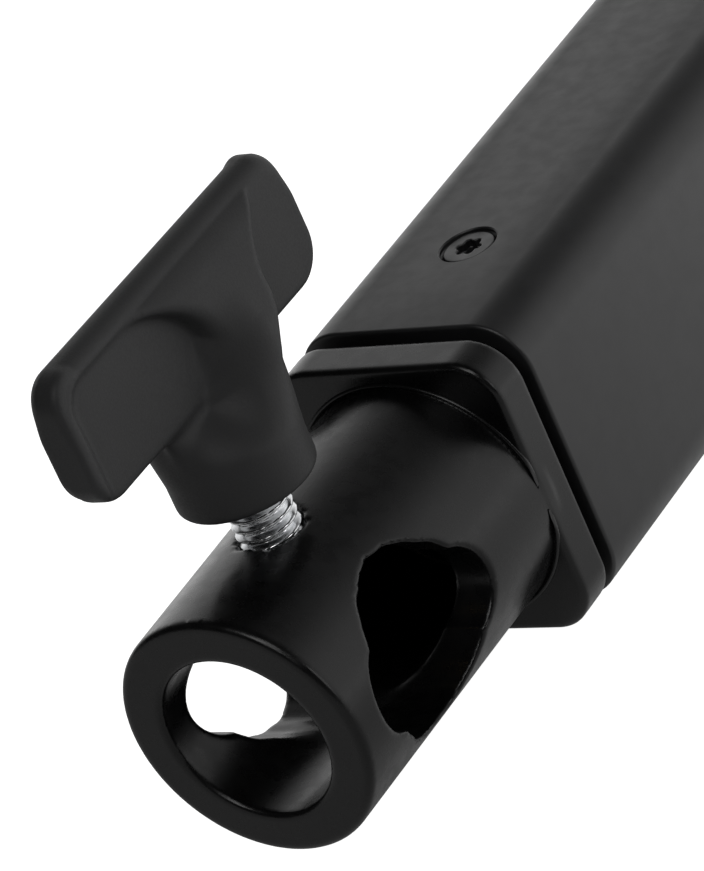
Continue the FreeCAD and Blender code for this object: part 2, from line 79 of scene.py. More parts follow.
Array = np.ndarray
Solid = Callable[[Array, Array, Array], Array]
Socket = bpy.types.NodeSocket
Colour = tuple[float, float, float]
Span = tuple[float, float]
Waves = tuple[tuple[float, int, float], ...]


class Slot(Enum):
    """The record's material slots."""

    CAST = "cast_paint"
    TUBE = "tube_paint"
    INNER = "inner_tube_paint"
    GRIP = "grip_plastic"
    NYLON = "black_nylon"
    SCREW = "black_screw"
    ZINC = "zinc_steel"
    SPIGOT = "spigot_steel"
    BRASS = "brass"


class Body(Enum):
    """The rigid bodies of the arm."""

    OUTER = "outer_arm"
    INNER = "inner_arm"
    CLAMP_FOOT = "clamp_foot"
    CLAMP_HANDLE = "clamp_handle"
    LOCK_FOOT = "lock_foot"
    LOCK_HANDLE = "lock_handle"


# ---------------------------------------------------------------- solids described by distance

def blend_min(a: Array, b: Array, radius: float) -> Array:
    """Joins two distance fields with a fillet of about this radius.

    Args:
        a: Distance to the first solid.
        b: Distance to the second solid.
        radius: Reach of the fillet, in millimetres.

    Returns:
        Distance to the joined solid.
    """
    overlap = np.maximum(radius - np.abs(a - b), 0.0) / radius
    return np.minimum(a, b) - overlap * overlap * radius * 0.25


def blend_max(a: Array, b: Array, radius: float) -> Array:
    """Distance to what two solids share, with the edge between them rounded."""
    return -blend_min(-a, -b, radius)


def carve(body: Array, tool: Array, radius: float) -> Array:
    """Cuts a tool out of a body and rounds the edge it leaves.

    Args:
        body: Distance to the body.
        tool: Distance to the tool.
        radius: Reach of the rounding, in millimetres.

    Returns:
        Distance to what is left.
    """
    return -blend_min(-body, tool, radius)


def rounded_rectangle(across: Array, up: Array, half_width: float, half_height: float,
                      corner: Array) -> Array:
    """Distance in a plane to a rectangle with round corners.

    Args:
        across: First coordinate, measured from the centre.
        up: Second coordinate, measured from the centre.
        half_width: Half the size along the first coordinate.
        half_height: Half the size along the second.
        corner: Corner radius, one value or one per point.

    Returns:
        Signed distance, negative inside.
    """
    x = np.abs(across) - half_width + corner
    z = np.abs(up) - half_height + corner
    return np.hypot(np.maximum(x, 0), np.maximum(z, 0)) + np.minimum(np.maximum(x, z), 0) - corner


def extrude(outline: Array, depth: Array, edge: float) -> Array:
    """Gives a flat outline thickness, with rounded edges.

    Args:
        outline: Distance to the outline in its own plane.
        depth: Distance past the nearer of the two end planes.
        edge: Rounding radius of the edges.

    Returns:
        Distance to the solid.
    """
    a = outline + edge
    b = depth + edge
    return np.hypot(np.maximum(a, 0), np.maximum(b, 0)) + np.minimum(np.maximum(a, b), 0) - edge


def between(values: Array, low: float, high: float) -> Array:
    """Distance outside the slab from low to high, negative within it."""
    return np.abs(values - (low + high) / 2) - (high - low) / 2


def ramp(values: Array, low: float, high: float) -> Array:
    """A smooth step from 0 at low to 1 at high."""
    share = np.clip((values - low) / (high - low), 0, 1)
    return share * share * (3 - 2 * share)


def fall(values: Array, low: float, high: float) -> Array:
    """A smooth step from 1 at low to 0 at high."""
    return ramp(-values, -high, -low)


def ragged(angle: Array, waves: Waves) -> Array:
    """The unevenness of a hole's edge, as waves given by height, count and phase."""
    return sum(height * np.sin(count * angle + phase) for height, count, phase in waves)


def skin(solid: Solid, low: Sequence[float], high: Sequence[float],
         step: float) -> tuple[Array, Array]:
    """Wraps a distance field in quads whose corners lie on its surface.

    Args:
        solid: Function of x, y and z that is negative inside the solid.
        low: Lowest corner of the space to search.
        high: Highest corner of that space.
        step: Size of a quad, in millimetres.

    Returns:
        Corner positions, and the quads as rows of four corner numbers.
    """
    axes = [np.arange(start, end + step, step) for start, end in zip(low, high)]
    value = np.empty([len(axis) for axis in axes], np.float32)
    for number, x in enumerate(axes[0]):
        y, z = np.meshgrid(axes[1], axes[2], indexing="ij")
        value[number] = solid(np.full_like(y, x), y, z)
    inside = value < 0
    filled = np.zeros([size - 1 for size in inside.shape], np.int8)
    for i, j, k in np.ndindex(2, 2, 2):
        filled += inside[i:inside.shape[0] - 1 + i, j:inside.shape[1] - 1 + j, k:inside.shape[2] - 1 + k]
    cells = np.argwhere((filled > 0) & (filled < 8))
    number_of = np.full(filled.shape, -1, np.int64)
    number_of[tuple(cells.T)] = np.arange(len(cells))
    points = np.array(low) + (cells + 0.5) * step
    points = settle(solid, points, step)
    quads = []
    for axis in range(3):
        here = [slice(None)] * 3
        there = [slice(None)] * 3
        here[axis] = slice(0, -1)
        there[axis] = slice(1, None)
        crossing = inside[tuple(here)] != inside[tuple(there)]
        edges = np.argwhere(crossing)
        leaving = inside[tuple(here)][tuple(edges.T)]
        b, c = (axis + 1) % 3, (axis + 2) % 3
        corners = []
        for move_b, move_c in ((0, 0), (1, 0), (1, 1), (0, 1)):
            cell = edges.copy()
            cell[:, b] -= move_b
            cell[:, c] -= move_c
            corners.append(number_of[tuple(cell.T)])
        ring = np.stack(corners, 1)
        ring[~leaving] = ring[~leaving][:, ::-1]
        quads.append(ring)
    return points, np.vstack(quads)


def slope(solid: Solid, points: Array, reach: float) -> Array:
    """The field's gradient at some points, by central differences.

    Args:
        solid: The distance field.
        points: Where to measure it, one row each.
        reach: How far to either side it is sampled.

    Returns:
        The gradient, one row for each point.
    """
    result = np.empty_like(points)
    for axis in range(3):
        ahead = points.copy()
        behind = points.copy()
        ahead[:, axis] += reach
        behind[:, axis] -= reach
        result[:, axis] = (solid(*ahead.T) - solid(*behind.T)) / (2 * reach)
    return result


def settle(solid: Solid, points: Array, step: float) -> Array:
    """Moves points that are near a surface onto it.

    Args:
        solid: The distance field.
        points: Points no further than about a step from the surface.
        step: The longest move allowed in one pass.

    Returns:
        The points on the surface.
    """
    for _ in range(4):
        gradient = slope(solid, points, step * 0.1)
        strength = np.maximum((gradient ** 2).sum(1, keepdims=True), 0.05)
        move = solid(*points.T)[:, None] * gradient / strength
        length = np.linalg.norm(move, axis=1, keepdims=True)
        points = points - move * np.minimum(1, 0.6 * step / np.maximum(length, 1e-9))
    return points


# ---------------------------------------------------------------- meshes

def make_piece(name: str, points: Array, faces: list | Array, sharp: float | None = None) -> bpy.types.Object:
    """Makes an object from points in millimetres.

    Args:
        name: The piece's name.
        points: Corner positions, one row each.
        faces: Faces as rows of corner numbers.
        sharp: Angle in degrees above which an edge is left sharp, or None for none.

    Returns:
        The new object, linked to the scene.
    """
    mesh = bpy.data.meshes.new(name)
    mesh.from_pydata((np.asarray(points) * MM).tolist(), [], [list(map(int, face)) for face in faces])
    mesh.validate()
    mesh.shade_smooth()
    if sharp is not None:
        mesh.set_sharp_from_angle(angle=math.radians(sharp))
    piece = bpy.data.objects.new(name, mesh)
    bpy.context.scene.collection.objects.link(piece)
    return piece


def skinned(name: str, solid: Solid, low: Sequence[float], high: Sequence[float],
            step: float) -> bpy.types.Object:
    """Makes a piece from a distance field, searching a few steps beyond the box that holds it.

    Args:
        name: The piece's name.
        solid: Function of x, y and z that is negative inside the solid.
        low: Lowest corner of the box.
        high: Highest corner of the box.
        step: Size of a quad, in millimetres.

    Returns:
        The new piece.
    """
    margin = SKIN_MARGIN * step
    points, quads = skin(solid, [value - margin for value in low], [value + margin for value in high], step)
    return make_piece(name, points, quads)


def rectangle_loop(width: float, height: float, corner: float, arc_steps: int = 14) -> Array:
    """Points around a rectangle with round corners, in the X-Z plane.

    Args:
        width: Size along X.
        height: Size along Z.
        corner: Corner radius.
        arc_steps: How many steps each corner takes.

    Returns:
        The points, one row each.
    """
    loop = []
    for quarter, (side_x, side_z) in enumerate(((1, 1), (-1, 1), (-1, -1), (1, -1))):
        for number in range(arc_steps + 1):
            angle = math.radians(90 * quarter + 90 * number / arc_steps)
            loop.append((side_x * (width / 2 - corner) + corner * math.cos(angle),
                         side_z * (height / 2 - corner) + corner * math.sin(angle)))
    return np.array(loop)


def ring_faces(rows: int, columns: int, closed: bool) -> list[tuple[int, int, int, int]]:
    """Quads between rows of points that each run round a ring.

    Args:
        rows: How many rings there are.
        columns: How many points each ring has.
        closed: Whether the last ring joins the first.

    Returns:
        The quads as corner numbers.
    """
    faces = []
    for row in range(rows if closed else rows - 1):
        above = (row + 1) % rows
        for column in range(columns):
            beside = (column + 1) % columns
            faces.append((row * columns + column, row * columns + beside,
                          above * columns + beside, above * columns + column))
    return faces


def capped_faces(rows: int, columns: int) -> list[tuple[int, ...]]:
    """Quads between rings of points, with a face over each end.

    Args:
        rows: How many rings there are.
        columns: How many points each ring has.

    Returns:
        The faces as corner numbers.
    """
    faces = ring_faces(rows, columns, False)
    faces.append(tuple(range(columns))[::-1])
    faces.append(tuple(range((rows - 1) * columns, rows * columns)))
    return faces


def steps_round(columns: int) -> Array:
    """The angles of this many even steps round a circle."""
    return np.arange(columns) * 2 * math.pi / columns


def level_ring(radius: float | Array, height: float, angles: Array) -> Array:
    """A level ring of points about the upright axis."""
    return np.column_stack([radius * np.cos(angles), radius * np.sin(angles), np.full(len(angles), height)])


def rounded_profile(corners: list[tuple[float, float, float]],
                    arc_steps: int = 4) -> list[tuple[float, float]]:
    """Rounds the corners of a closed outline.

    Args:
        corners: First coordinate, second coordinate and rounding radius of each corner.
        arc_steps: How many steps each rounding takes.

    Returns:
        The points of the rounded outline.
    """
    points = []
    count = len(corners)
    for number, (x, y, radius) in enumerate(corners):
        here = Vector((x, y))
        before = Vector(corners[number - 1][:2]) - here
        after = Vector(corners[(number + 1) % count][:2]) - here
        reach = min(radius, before.length * LONGEST_ROUNDING, after.length * LONGEST_ROUNDING)
        if reach <= 0:
            points.append((x, y))
            continue
        start = here + before.normalized() * reach
        end = here + after.normalized() * reach
        for step in range(arc_steps + 1):
            share = step / arc_steps
            point = start * (1 - share) ** 2 + here * 2 * share * (1 - share) + end * share ** 2
            points.append((point.x, point.y))
    return points


def sleeve(name: str, section: tuple[float, float, float], corners: list[tuple[float, float, float]],
           sharp: float = 30) -> bpy.types.Object:
    """A rectangular tube whose wall is a rounded outline carried round the section.

    Args:
        name: The piece's name.
        section: Width, height and corner radius of the reference section.
        corners: Wall outline: depth in from the section, place along the arm, rounding.
        sharp: Angle in degrees above which an edge is left sharp.

    Returns:
        The new tube.
    """
    width, height, corner = section
    rows = []
    for depth, along in rounded_profile(corners):
        loop = rectangle_loop(width - 2 * depth, height - 2 * depth, max(corner - depth, 0.3))
        rows.append(np.column_stack([loop[:, 0], np.full(len(loop), along), loop[:, 1]]))
    return make_piece(name, np.vstack(rows), ring_faces(len(rows), len(rows[0]), True), sharp)


def turned(name: str, profile: list[tuple[float, float]], columns: int = 72,
           sharp: float = 30) -> bpy.types.Object:
    """A piece turned about the arm's axis from an open profile that starts and ends on the axis.

    Args:
        name: The piece's name.
        profile: Radius and place along the arm of each point.
        columns: How many steps go round.
        sharp: Angle in degrees above which an edge is left sharp.

    Returns:
        The new piece.
    """
    angles = steps_round(columns)
    rows = []
    for radius, along in profile:
        side = -radius * np.sin(angles)
        rows.append(np.column_stack([radius * np.cos(angles), np.full(columns, along), side]))
    return make_piece(name, np.vstack(rows), capped_faces(len(rows), columns), sharp)


def countersink_tool(name: str, place: Vector, down: float, sink: float, shank: float,
                     depth: float) -> bpy.types.Object:
    """A solid of the shape of a countersunk hole, to be cut from a wall.

    Args:
        name: The tool's name.
        place: Where the screw's axis meets the surface.
        down: 1 where the hole goes down from a top face, -1 where it goes up from an underside.
        sink: Radius at the surface.
        shank: Radius of the plain hole.
        depth: How deep the plain hole goes.

    Returns:
        The tool, to be deleted after use.
    """
    above = 0.5
    straight = 0.4
    lip = 0.12
    outline = [(sink + lip + above, above), (sink, -lip), (sink, -straight),
               (shank, shank - sink - straight), (shank, -depth)]
    return round_tool(name, place, [(radius, place.z + down * height) for radius, height in outline])


def tidy_normals(piece: bpy.types.Object) -> None:
    """Makes every face of a closed mesh look outward.

    Args:
        piece: The piece, whose mesh is changed.
    """
    shape = bmesh.new()
    shape.from_mesh(piece.data)
    bmesh.ops.recalc_face_normals(shape, faces=shape.faces)
    shape.to_mesh(piece.data)
    shape.free()


def round_tool(name: str, centre: Vector, outline: list[tuple[float, float]],
               columns: int = 48) -> bpy.types.Object:
    """A solid turned about an upright axis, to be cut from a wall.

    Args:
        name: The tool's name.
        centre: A point of the axis, in millimetres.
        outline: Radius and height of each ring, from one end to the other.
        columns: How many steps go round.

    Returns:
        The tool, to be deleted after use.
    """
    angles = steps_round(columns)
    axis = np.array([centre.x, centre.y, 0])
    rows = [level_ring(radius, height, angles) + axis for radius, height in outline]
    tool = make_piece(name, np.vstack(rows), capped_faces(len(rows), columns))
    tidy_normals(tool)
    return tool


def cut_away(piece: bpy.types.Object, tools: list[bpy.types.Object], sharp: float = 30) -> None:
    """Cuts tools out of a piece, applies the cuts and deletes the tools.

    Args:
        piece: The piece, whose mesh is replaced.
        tools: The solids to cut out of it.
        sharp: Angle in degrees above which an edge is left sharp.
    """
    for tool in tools:
        cut = piece.modifiers.new("cut", "BOOLEAN")
        cut.operation = "DIFFERENCE"
        cut.solver = "EXACT"
        cut.object = tool
    bpy.context.view_layer.update()
    seen = piece.evaluated_get(bpy.context.evaluated_depsgraph_get())
    mesh = bpy.data.meshes.new_from_object(seen)
    piece.modifiers.clear()
    old = piece.data
    piece.data = mesh
    mesh.name = piece.name
    bpy.data.meshes.remove(old)
    mesh.shade_smooth()
    mesh.set_sharp_from_angle(angle=math.radians(sharp))
    for tool in tools:
        shape = tool.data
        bpy.data.objects.remove(tool)
        bpy.data.meshes.remove(shape)


# ---------------------------------------------------------------- finishes

class Graph:
    """A short way to write a node graph."""

    def __init__(self, tree: bpy.types.NodeTree) -> None:
        """Takes the tree to write in."""
        self.tree = tree

    def add(self, kind: str, **settings: object) -> bpy.types.Node:
        """Adds a node and sets its properties."""
        node = self.tree.nodes.new(kind)
        for key, value in settings.items():
            setattr(node, key, value)
        return node

    def join(self, source: Socket, target: Socket) -> None:
        """Links two sockets."""
        self.tree.links.new(source, target)

    def feed(self, target: Socket, value: object) -> None:
        """Links a socket to another, or sets it to a plain value."""
        if isinstance(value, Socket):
            self.join(value, target)
        else:
            target.default_value = value

    def spread(self, source: Socket, low: float, high: float, to_low: float = 0,
               to_high: float = 1) -> Socket:
        """Maps a value smoothly from one range to another, held at the ends.

        Args:
            source: The value.
            low: Start of its range.
            high: End of its range.
            to_low: What it becomes at low.
            to_high: What it becomes at high.

        Returns:
            The mapped value.
        """
        node = self.add("ShaderNodeMapRange", interpolation_type="SMOOTHSTEP")
        for key, value in (("From Min", low), ("From Max", high), ("To Min", to_low), ("To Max", to_high)):
            node.inputs[key].default_value = value
        self.join(source, node.inputs["Value"])
        return node.outputs["Result"]

    def share(self, noise: Socket, low: float = 0, high: float = 1) -> Socket:
        """Noise whose middle values are spread from low to high."""
        return self.spread(noise, *NOISE_MIDDLE, low, high)

    def math(self, operation: str, a: object, b: object) -> Socket:
        """One arithmetic step on two values or sockets."""
        node = self.add("ShaderNodeMath", operation=operation)
        for number, value in enumerate((a, b)):
            self.feed(node.inputs[number], value)
        return node.outputs[0]

    def axes(self, place: Socket) -> bpy.types.NodeOutputs:
        """A place split into its X, Y and Z."""
        node = self.add("ShaderNodeSeparateXYZ")
        self.join(place, node.inputs[0])
        return node.outputs


class Nodes(Graph):
    """A material's node graph."""

    def __init__(self, name: str) -> None:
        """Starts a material with a principled shader.

        Args:
            name: The material's name.
        """
        self.material = bpy.data.materials.new(name)
        self.material.use_nodes = True
        super().__init__(self.material.node_tree)
        self.shader = self.tree.nodes["Principled BSDF"]
        self.place = self.add("ShaderNodeTexCoord").outputs["Object"]

    def give(self, socket: str, value: object) -> None:
        """Sets one of the shader's sockets, or links it."""
        self.feed(self.shader.inputs[socket], value)

    def stretch(self, scale: tuple[float, float, float]) -> Socket:
        """The place on the piece, scaled along each axis."""
        node = self.add("ShaderNodeMapping")
        node.inputs["Scale"].default_value = scale
        self.join(self.place, node.inputs["Vector"])
        return node.outputs["Vector"]

    def noise(self, per_mm: float, detail: float = 3, place: Socket | None = None) -> Socket:
        """Soft noise with this many features to a millimetre."""
        node = self.add("ShaderNodeTexNoise")
        node.inputs["Scale"].default_value = per_mm / MM
        node.inputs["Detail"].default_value = detail
        self.join(place or self.place, node.inputs["Vector"])
        return node.outputs["Fac"]

    def tint(self, share: Socket, low: Colour, high: Colour) -> Socket:
        """A colour between two colours, by a share from 0 to 1."""
        node = self.add("ShaderNodeMix", data_type="RGBA")
        node.inputs[6].default_value = (*low, 1)
        node.inputs[7].default_value = (*high, 1)
        self.join(share, node.inputs[0])
        return node.outputs[2]

    def bump(self, height: Socket, depth: float, below: Socket | None = None) -> Socket:
        """Relief of this depth in millimetres, on top of any relief below."""
        node = self.add("ShaderNodeBump")
        node.inputs["Strength"].default_value = 1.0
        node.inputs["Distance"].default_value = depth * MM
        self.join(height, node.inputs["Height"])
        if below is not None:
            self.join(below, node.inputs["Normal"])
        return node.outputs["Normal"]


@dataclass(frozen=True)
class BlackCoat:
    """A black coat: powder coat, e-coat, anodising or black oxide."""

    name: str
    colour: Colour
    lighter: Colour
    roughness: float
    roughness_spread: float
    grain_per_mm: float
    grain_depth: float
    wave_per_mm: float = 0.25
    wave_depth: float = 0.0
    level: float = 0.5
    streaks: bool = False
    cloud_per_mm: float = 0.12
    patch_per_mm: float = 0.6
    streak_per_mm: float = 0.9
    streak_stretch: tuple[float, float, float] = (1.0, 0.02, 1.0)
    streak_span: Span = (0.5, 0.75)
    streak_roughness: float = 0.12

    def build(self) -> bpy.types.Material:
        """Makes the material."""
        nodes = Nodes(self.name)
        nodes.give("Specular IOR Level", self.level)
        cloud = nodes.noise(self.cloud_per_mm, 2)
        grain = nodes.noise(self.grain_per_mm, 4)
        share = nodes.math("MULTIPLY", nodes.share(cloud), nodes.share(grain, 0.4))
        nodes.give("Base Color", nodes.tint(share, self.colour, self.lighter))
        low = self.roughness - self.roughness_spread
        high = self.roughness + self.roughness_spread
        rough = nodes.share(nodes.noise(self.patch_per_mm), low, high)
        if self.streaks:
            lines = nodes.noise(self.streak_per_mm, 5, nodes.stretch(self.streak_stretch))
            added = nodes.spread(lines, *self.streak_span, 0, self.streak_roughness)
            rough = nodes.math("ADD", rough, added)
        nodes.give("Roughness", rough)
        relief = nodes.bump(grain, self.grain_depth)
        if self.wave_depth:
            relief = nodes.bump(nodes.noise(self.wave_per_mm, 1), self.wave_depth, relief)
        nodes.give("Normal", relief)
        return nodes.material


@dataclass(frozen=True)
class BareMetal:
    """Plated or turned metal, with its tool marks."""

    name: str
    colour: Colour
    darker: Colour
    roughness: float
    roughness_spread: float
    marks: tuple[float, float, float] = (1.0, 1.0, 1.0)
    marks_per_mm: float = 3.0
    marks_depth: float = 0.004
    stain_per_mm: float = 0.5
    stain_span: Span = (0.35, 0.7)

    def build(self) -> bpy.types.Material:
        """Makes the material."""
        nodes = Nodes(self.name)
        nodes.give("Metallic", 1.0)
        lines = nodes.noise(self.marks_per_mm, 4, nodes.stretch(self.marks))
        share = nodes.spread(nodes.noise(self.stain_per_mm, 4), *self.stain_span)
        nodes.give("Base Color", nodes.tint(share, self.colour, self.darker))
        low = self.roughness - self.roughness_spread
        high = self.roughness + self.roughness_spread
        nodes.give("Roughness", nodes.share(lines, low, high))
        nodes.give("Normal", nodes.bump(lines, self.marks_depth))
        return nodes.material


@dataclass(frozen=True)
class MouldedPlastic:
    """Black moulded plastic with a fine spark-eroded grain."""

    name: str
    colour: Colour
    lighter: Colour
    roughness: float
    roughness_spread: float = 0.05
    level: float = 0.34
    grain_per_mm: float = 5.0
    grain_depth: float = 0.012
    flow_per_mm: float = 0.08

    def build(self) -> bpy.types.Material:
        """Makes the material."""
        nodes = Nodes(self.name)
        nodes.give("Specular IOR Level", self.level)
        grain = nodes.noise(self.grain_per_mm)
        share = nodes.share(nodes.noise(self.flow_per_mm, 2))
        nodes.give("Base Color", nodes.tint(share, self.colour, self.lighter))
        low = self.roughness - self.roughness_spread
        high = self.roughness + self.roughness_spread
        nodes.give("Roughness", nodes.share(grain, low, high))
        nodes.give("Normal", nodes.bump(grain, self.grain_depth))
        return nodes.material


class Paintbox:
    """One material for each slot of the record, made once."""

    def __init__(self) -> None:
        """Makes every finish."""
        finishes = {
            Slot.CAST: BlackCoat("black_cast_paint", (0.002, 0.002, 0.0021), (0.003, 0.003, 0.0032),
                                 0.28, 0.04, 2.2, 0.004, 0.4, 0.008, 0.33),
            Slot.TUBE: BlackCoat("black_tube_powder_coat", (0.010, 0.010, 0.0105), (0.013, 0.013, 0.0135),
                                 0.40, 0.03, 3.0, 0.004, 0.3, 0.004, 0.5),
            Slot.INNER: BlackCoat("black_inner_tube_anodising", (0.008, 0.008, 0.009), (0.014, 0.014, 0.015),
                                  0.32, 0.03, 4.0, 0.004, level=0.6, streaks=True),
            Slot.NYLON: BlackCoat("black_nylon", (0.010, 0.010, 0.011), (0.015, 0.015, 0.016),
                                  0.5, 0.05, 4.0, 0.01),
            Slot.SCREW: BlackCoat("black_screw_oxide", (0.006, 0.006, 0.0065), (0.015, 0.015, 0.016),
                                  0.36, 0.06, 5.0, 0.006, level=0.6),
            Slot.GRIP: MouldedPlastic("black_grip_plastic", (0.018, 0.018, 0.0185), (0.021, 0.021, 0.0216),
                                      0.56),
            Slot.ZINC: BareMetal("zinc_plate", (0.84, 0.85, 0.86), (0.6, 0.61, 0.63), 0.2, 0.06,
                                 (0.4, 0.4, 3.0), 4.0, 0.003),
            Slot.SPIGOT: BareMetal("turned_spigot_steel", (0.70, 0.70, 0.71), (0.52, 0.52, 0.53), 0.26, 0.07,
                                   (0.05, 3.0, 0.05), 3.0, 0.005),
            Slot.BRASS: BareMetal("turned_brass", (0.80, 0.60, 0.28), (0.62, 0.44, 0.18), 0.3, 0.06),
        }
        self.materials = {slot: finish.build() for slot, finish in finishes.items()}

    def coat(self, piece: bpy.types.Object, slot: Slot) -> None:
        """Gives a piece the finish of one slot."""
        piece.data.materials.clear()
        piece.data.materials.append(self.materials[slot])

    def coat_node(self, node: str) -> None:
        """Gives a carried-over node a better material in place of its plain one."""
        slot = next(part["material_slot"] for part in frame["record"]["subparts"] if part["node"] == node)
        shown = frame["nodes"][node]
        for holder in shown.material_slots:
            holder.material = self.materials[Slot(slot)]


# ---------------------------------------------------------------- reading the frame

def low_mm(node: str) -> Vector:
    """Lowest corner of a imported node, in millimetres."""
    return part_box(node)[0] / MM


def high_mm(node: str) -> Vector:
    """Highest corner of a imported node, in millimetres."""
    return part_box(node)[1] / MM


def middle_mm(node: str) -> Vector:
    """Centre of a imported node's box, in millimetres."""
    return (low_mm(node) + high_mm(node)) / 2


def mount(name: str) -> dict:
    """One mount of the record, by name."""
    return next(item for item in frame["record"]["mounts"] if item["name"] == name)


def section_of(node: str, corner: float) -> tuple[float, float, float]:
    """Width and height of a tube from its node, with a corner radius."""
    size = high_mm(node) - low_mm(node)
    return size.x, size.z, corner


@dataclass
class SubAssembly:
    """What every sub-assembly shares: the paintbox and the list of pieces it has made."""

    paints: Paintbox
    pieces: list[bpy.types.Object] = field(default_factory=list, init=False)

    def keep(self, piece: bpy.types.Object, slot: Slot, body: Body, *nodes: str) -> bpy.types.Object:
        """Coats a piece, makes it ride on its body and lets it stand for its nodes.

        Args:
            piece: The finished piece.
            slot: Its material slot.
            body: The body it moves with.
            nodes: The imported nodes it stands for.

        Returns:
            The same piece.
        """
        self.paints.coat(piece, slot)
        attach(piece, body.value)
        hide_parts(*nodes)
        self.pieces.append(piece)
        log.info("%s: %d faces, rides on %s", piece.name, len(piece.data.polygons), body.value)
        return piece


# ---------------------------------------------------------------- screws

@dataclass
class CountersunkScrew:
    """A countersunk screw with a six-lobed driver recess."""

    length: float
    shank: float = 1.5
    head: float = 2.48
    recess: float = 0.25
    rim: float = 0.3
    core: float = 0.98
    lobe: float = 0.34
    reach: float = 1.02
    drive_depth: float = 0.8
    step: float = 0.085

    def solid(self, x: Array, y: Array, z: Array) -> Array:
        """Distance to the screw, whose surface level is z = 0 and whose shank hangs down."""
        away = np.hypot(x, y)
        top = -self.recess
        cone = (away - (self.head + np.minimum(z - top + self.rim, 0))) * math.sqrt(0.5)
        cone = np.maximum(cone, away - self.head)
        shank = extrude(away - self.shank, between(z, -self.length, top - 0.3), 0.3)
        body = blend_min(np.maximum(cone, -(z - top + self.head - self.shank + self.rim)), shank, 0.15)
        body = -blend_min(-body, -(z - top), 0.12)
        angle = np.arctan2(y, x)
        sixth = math.pi / 3
        folded = angle - sixth * np.round(angle / sixth)
        lobe = np.hypot(away * np.cos(folded) - self.reach, away * np.sin(folded)) - self.lobe
        star = blend_min(lobe, away - self.core, 0.35)
        drive = np.maximum(star, -(z - top + self.drive_depth))
        return carve(body, drive, 0.1)

    def mesh(self, name: str) -> bpy.types.Object:
        """Makes the screw at the origin."""
        return skinned(name, self.solid, (-self.head, -self.head, -self.length), (self.head, self.head, 0),
                       self.step)


def screw_seat(node: str) -> tuple[Vector, int]:
    """Where a countersunk screw sits, from its node.

    Args:
        node: The screw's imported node.

    Returns:
        Where its axis meets the surface that it is sunk in, and 1 if its head is up or -1 if it is down.
    """
    low, high = low_mm(node), high_mm(node)
    side = 1 if high.z > 0 else -1
    surface = high.z + CountersunkScrew.recess if side > 0 else low.z - CountersunkScrew.recess
    middle = (low + high) / 2
    return Vector((middle.x, middle.y, surface)), side


@dataclass
class ScrewSet(SubAssembly):
    """Every countersunk screw of the arm."""

    def build(self) -> None:
        """Makes one screw of each length and stands a copy in each hole."""
        names = [node for node in frame["nodes"] if "_screw_" in node]
        shapes: dict[float, bpy.types.Mesh] = {}
        for name in sorted(names):
            tall = high_mm(name).z - low_mm(name).z
            pattern = CountersunkScrew(length=round(tall + CountersunkScrew.recess, 2))
            if pattern.length not in shapes:
                first = pattern.mesh(f"screw_{pattern.length:g}")
                shapes[pattern.length] = first.data
                bpy.data.objects.remove(first)
            piece = bpy.data.objects.new(name.replace("_screw_", "_machine_screw_"),
                                         shapes[pattern.length].copy())
            bpy.context.scene.collection.objects.link(piece)
            self.stand(piece, name)
            body = Body.OUTER if name.startswith(("socket", "block")) else Body.INNER
            self.keep(piece, Slot.SCREW, body, name)

    def stand(self, piece: bpy.types.Object, node: str) -> None:
        """Puts a screw where its node is, head outward."""
        place, side = screw_seat(node)
        turn = Matrix.Rotation(0 if side > 0 else math.pi, 4, "Y")
        piece.data.transform(Matrix.Translation(place * MM) @ turn)


# ---------------------------------------------------------------- socket end

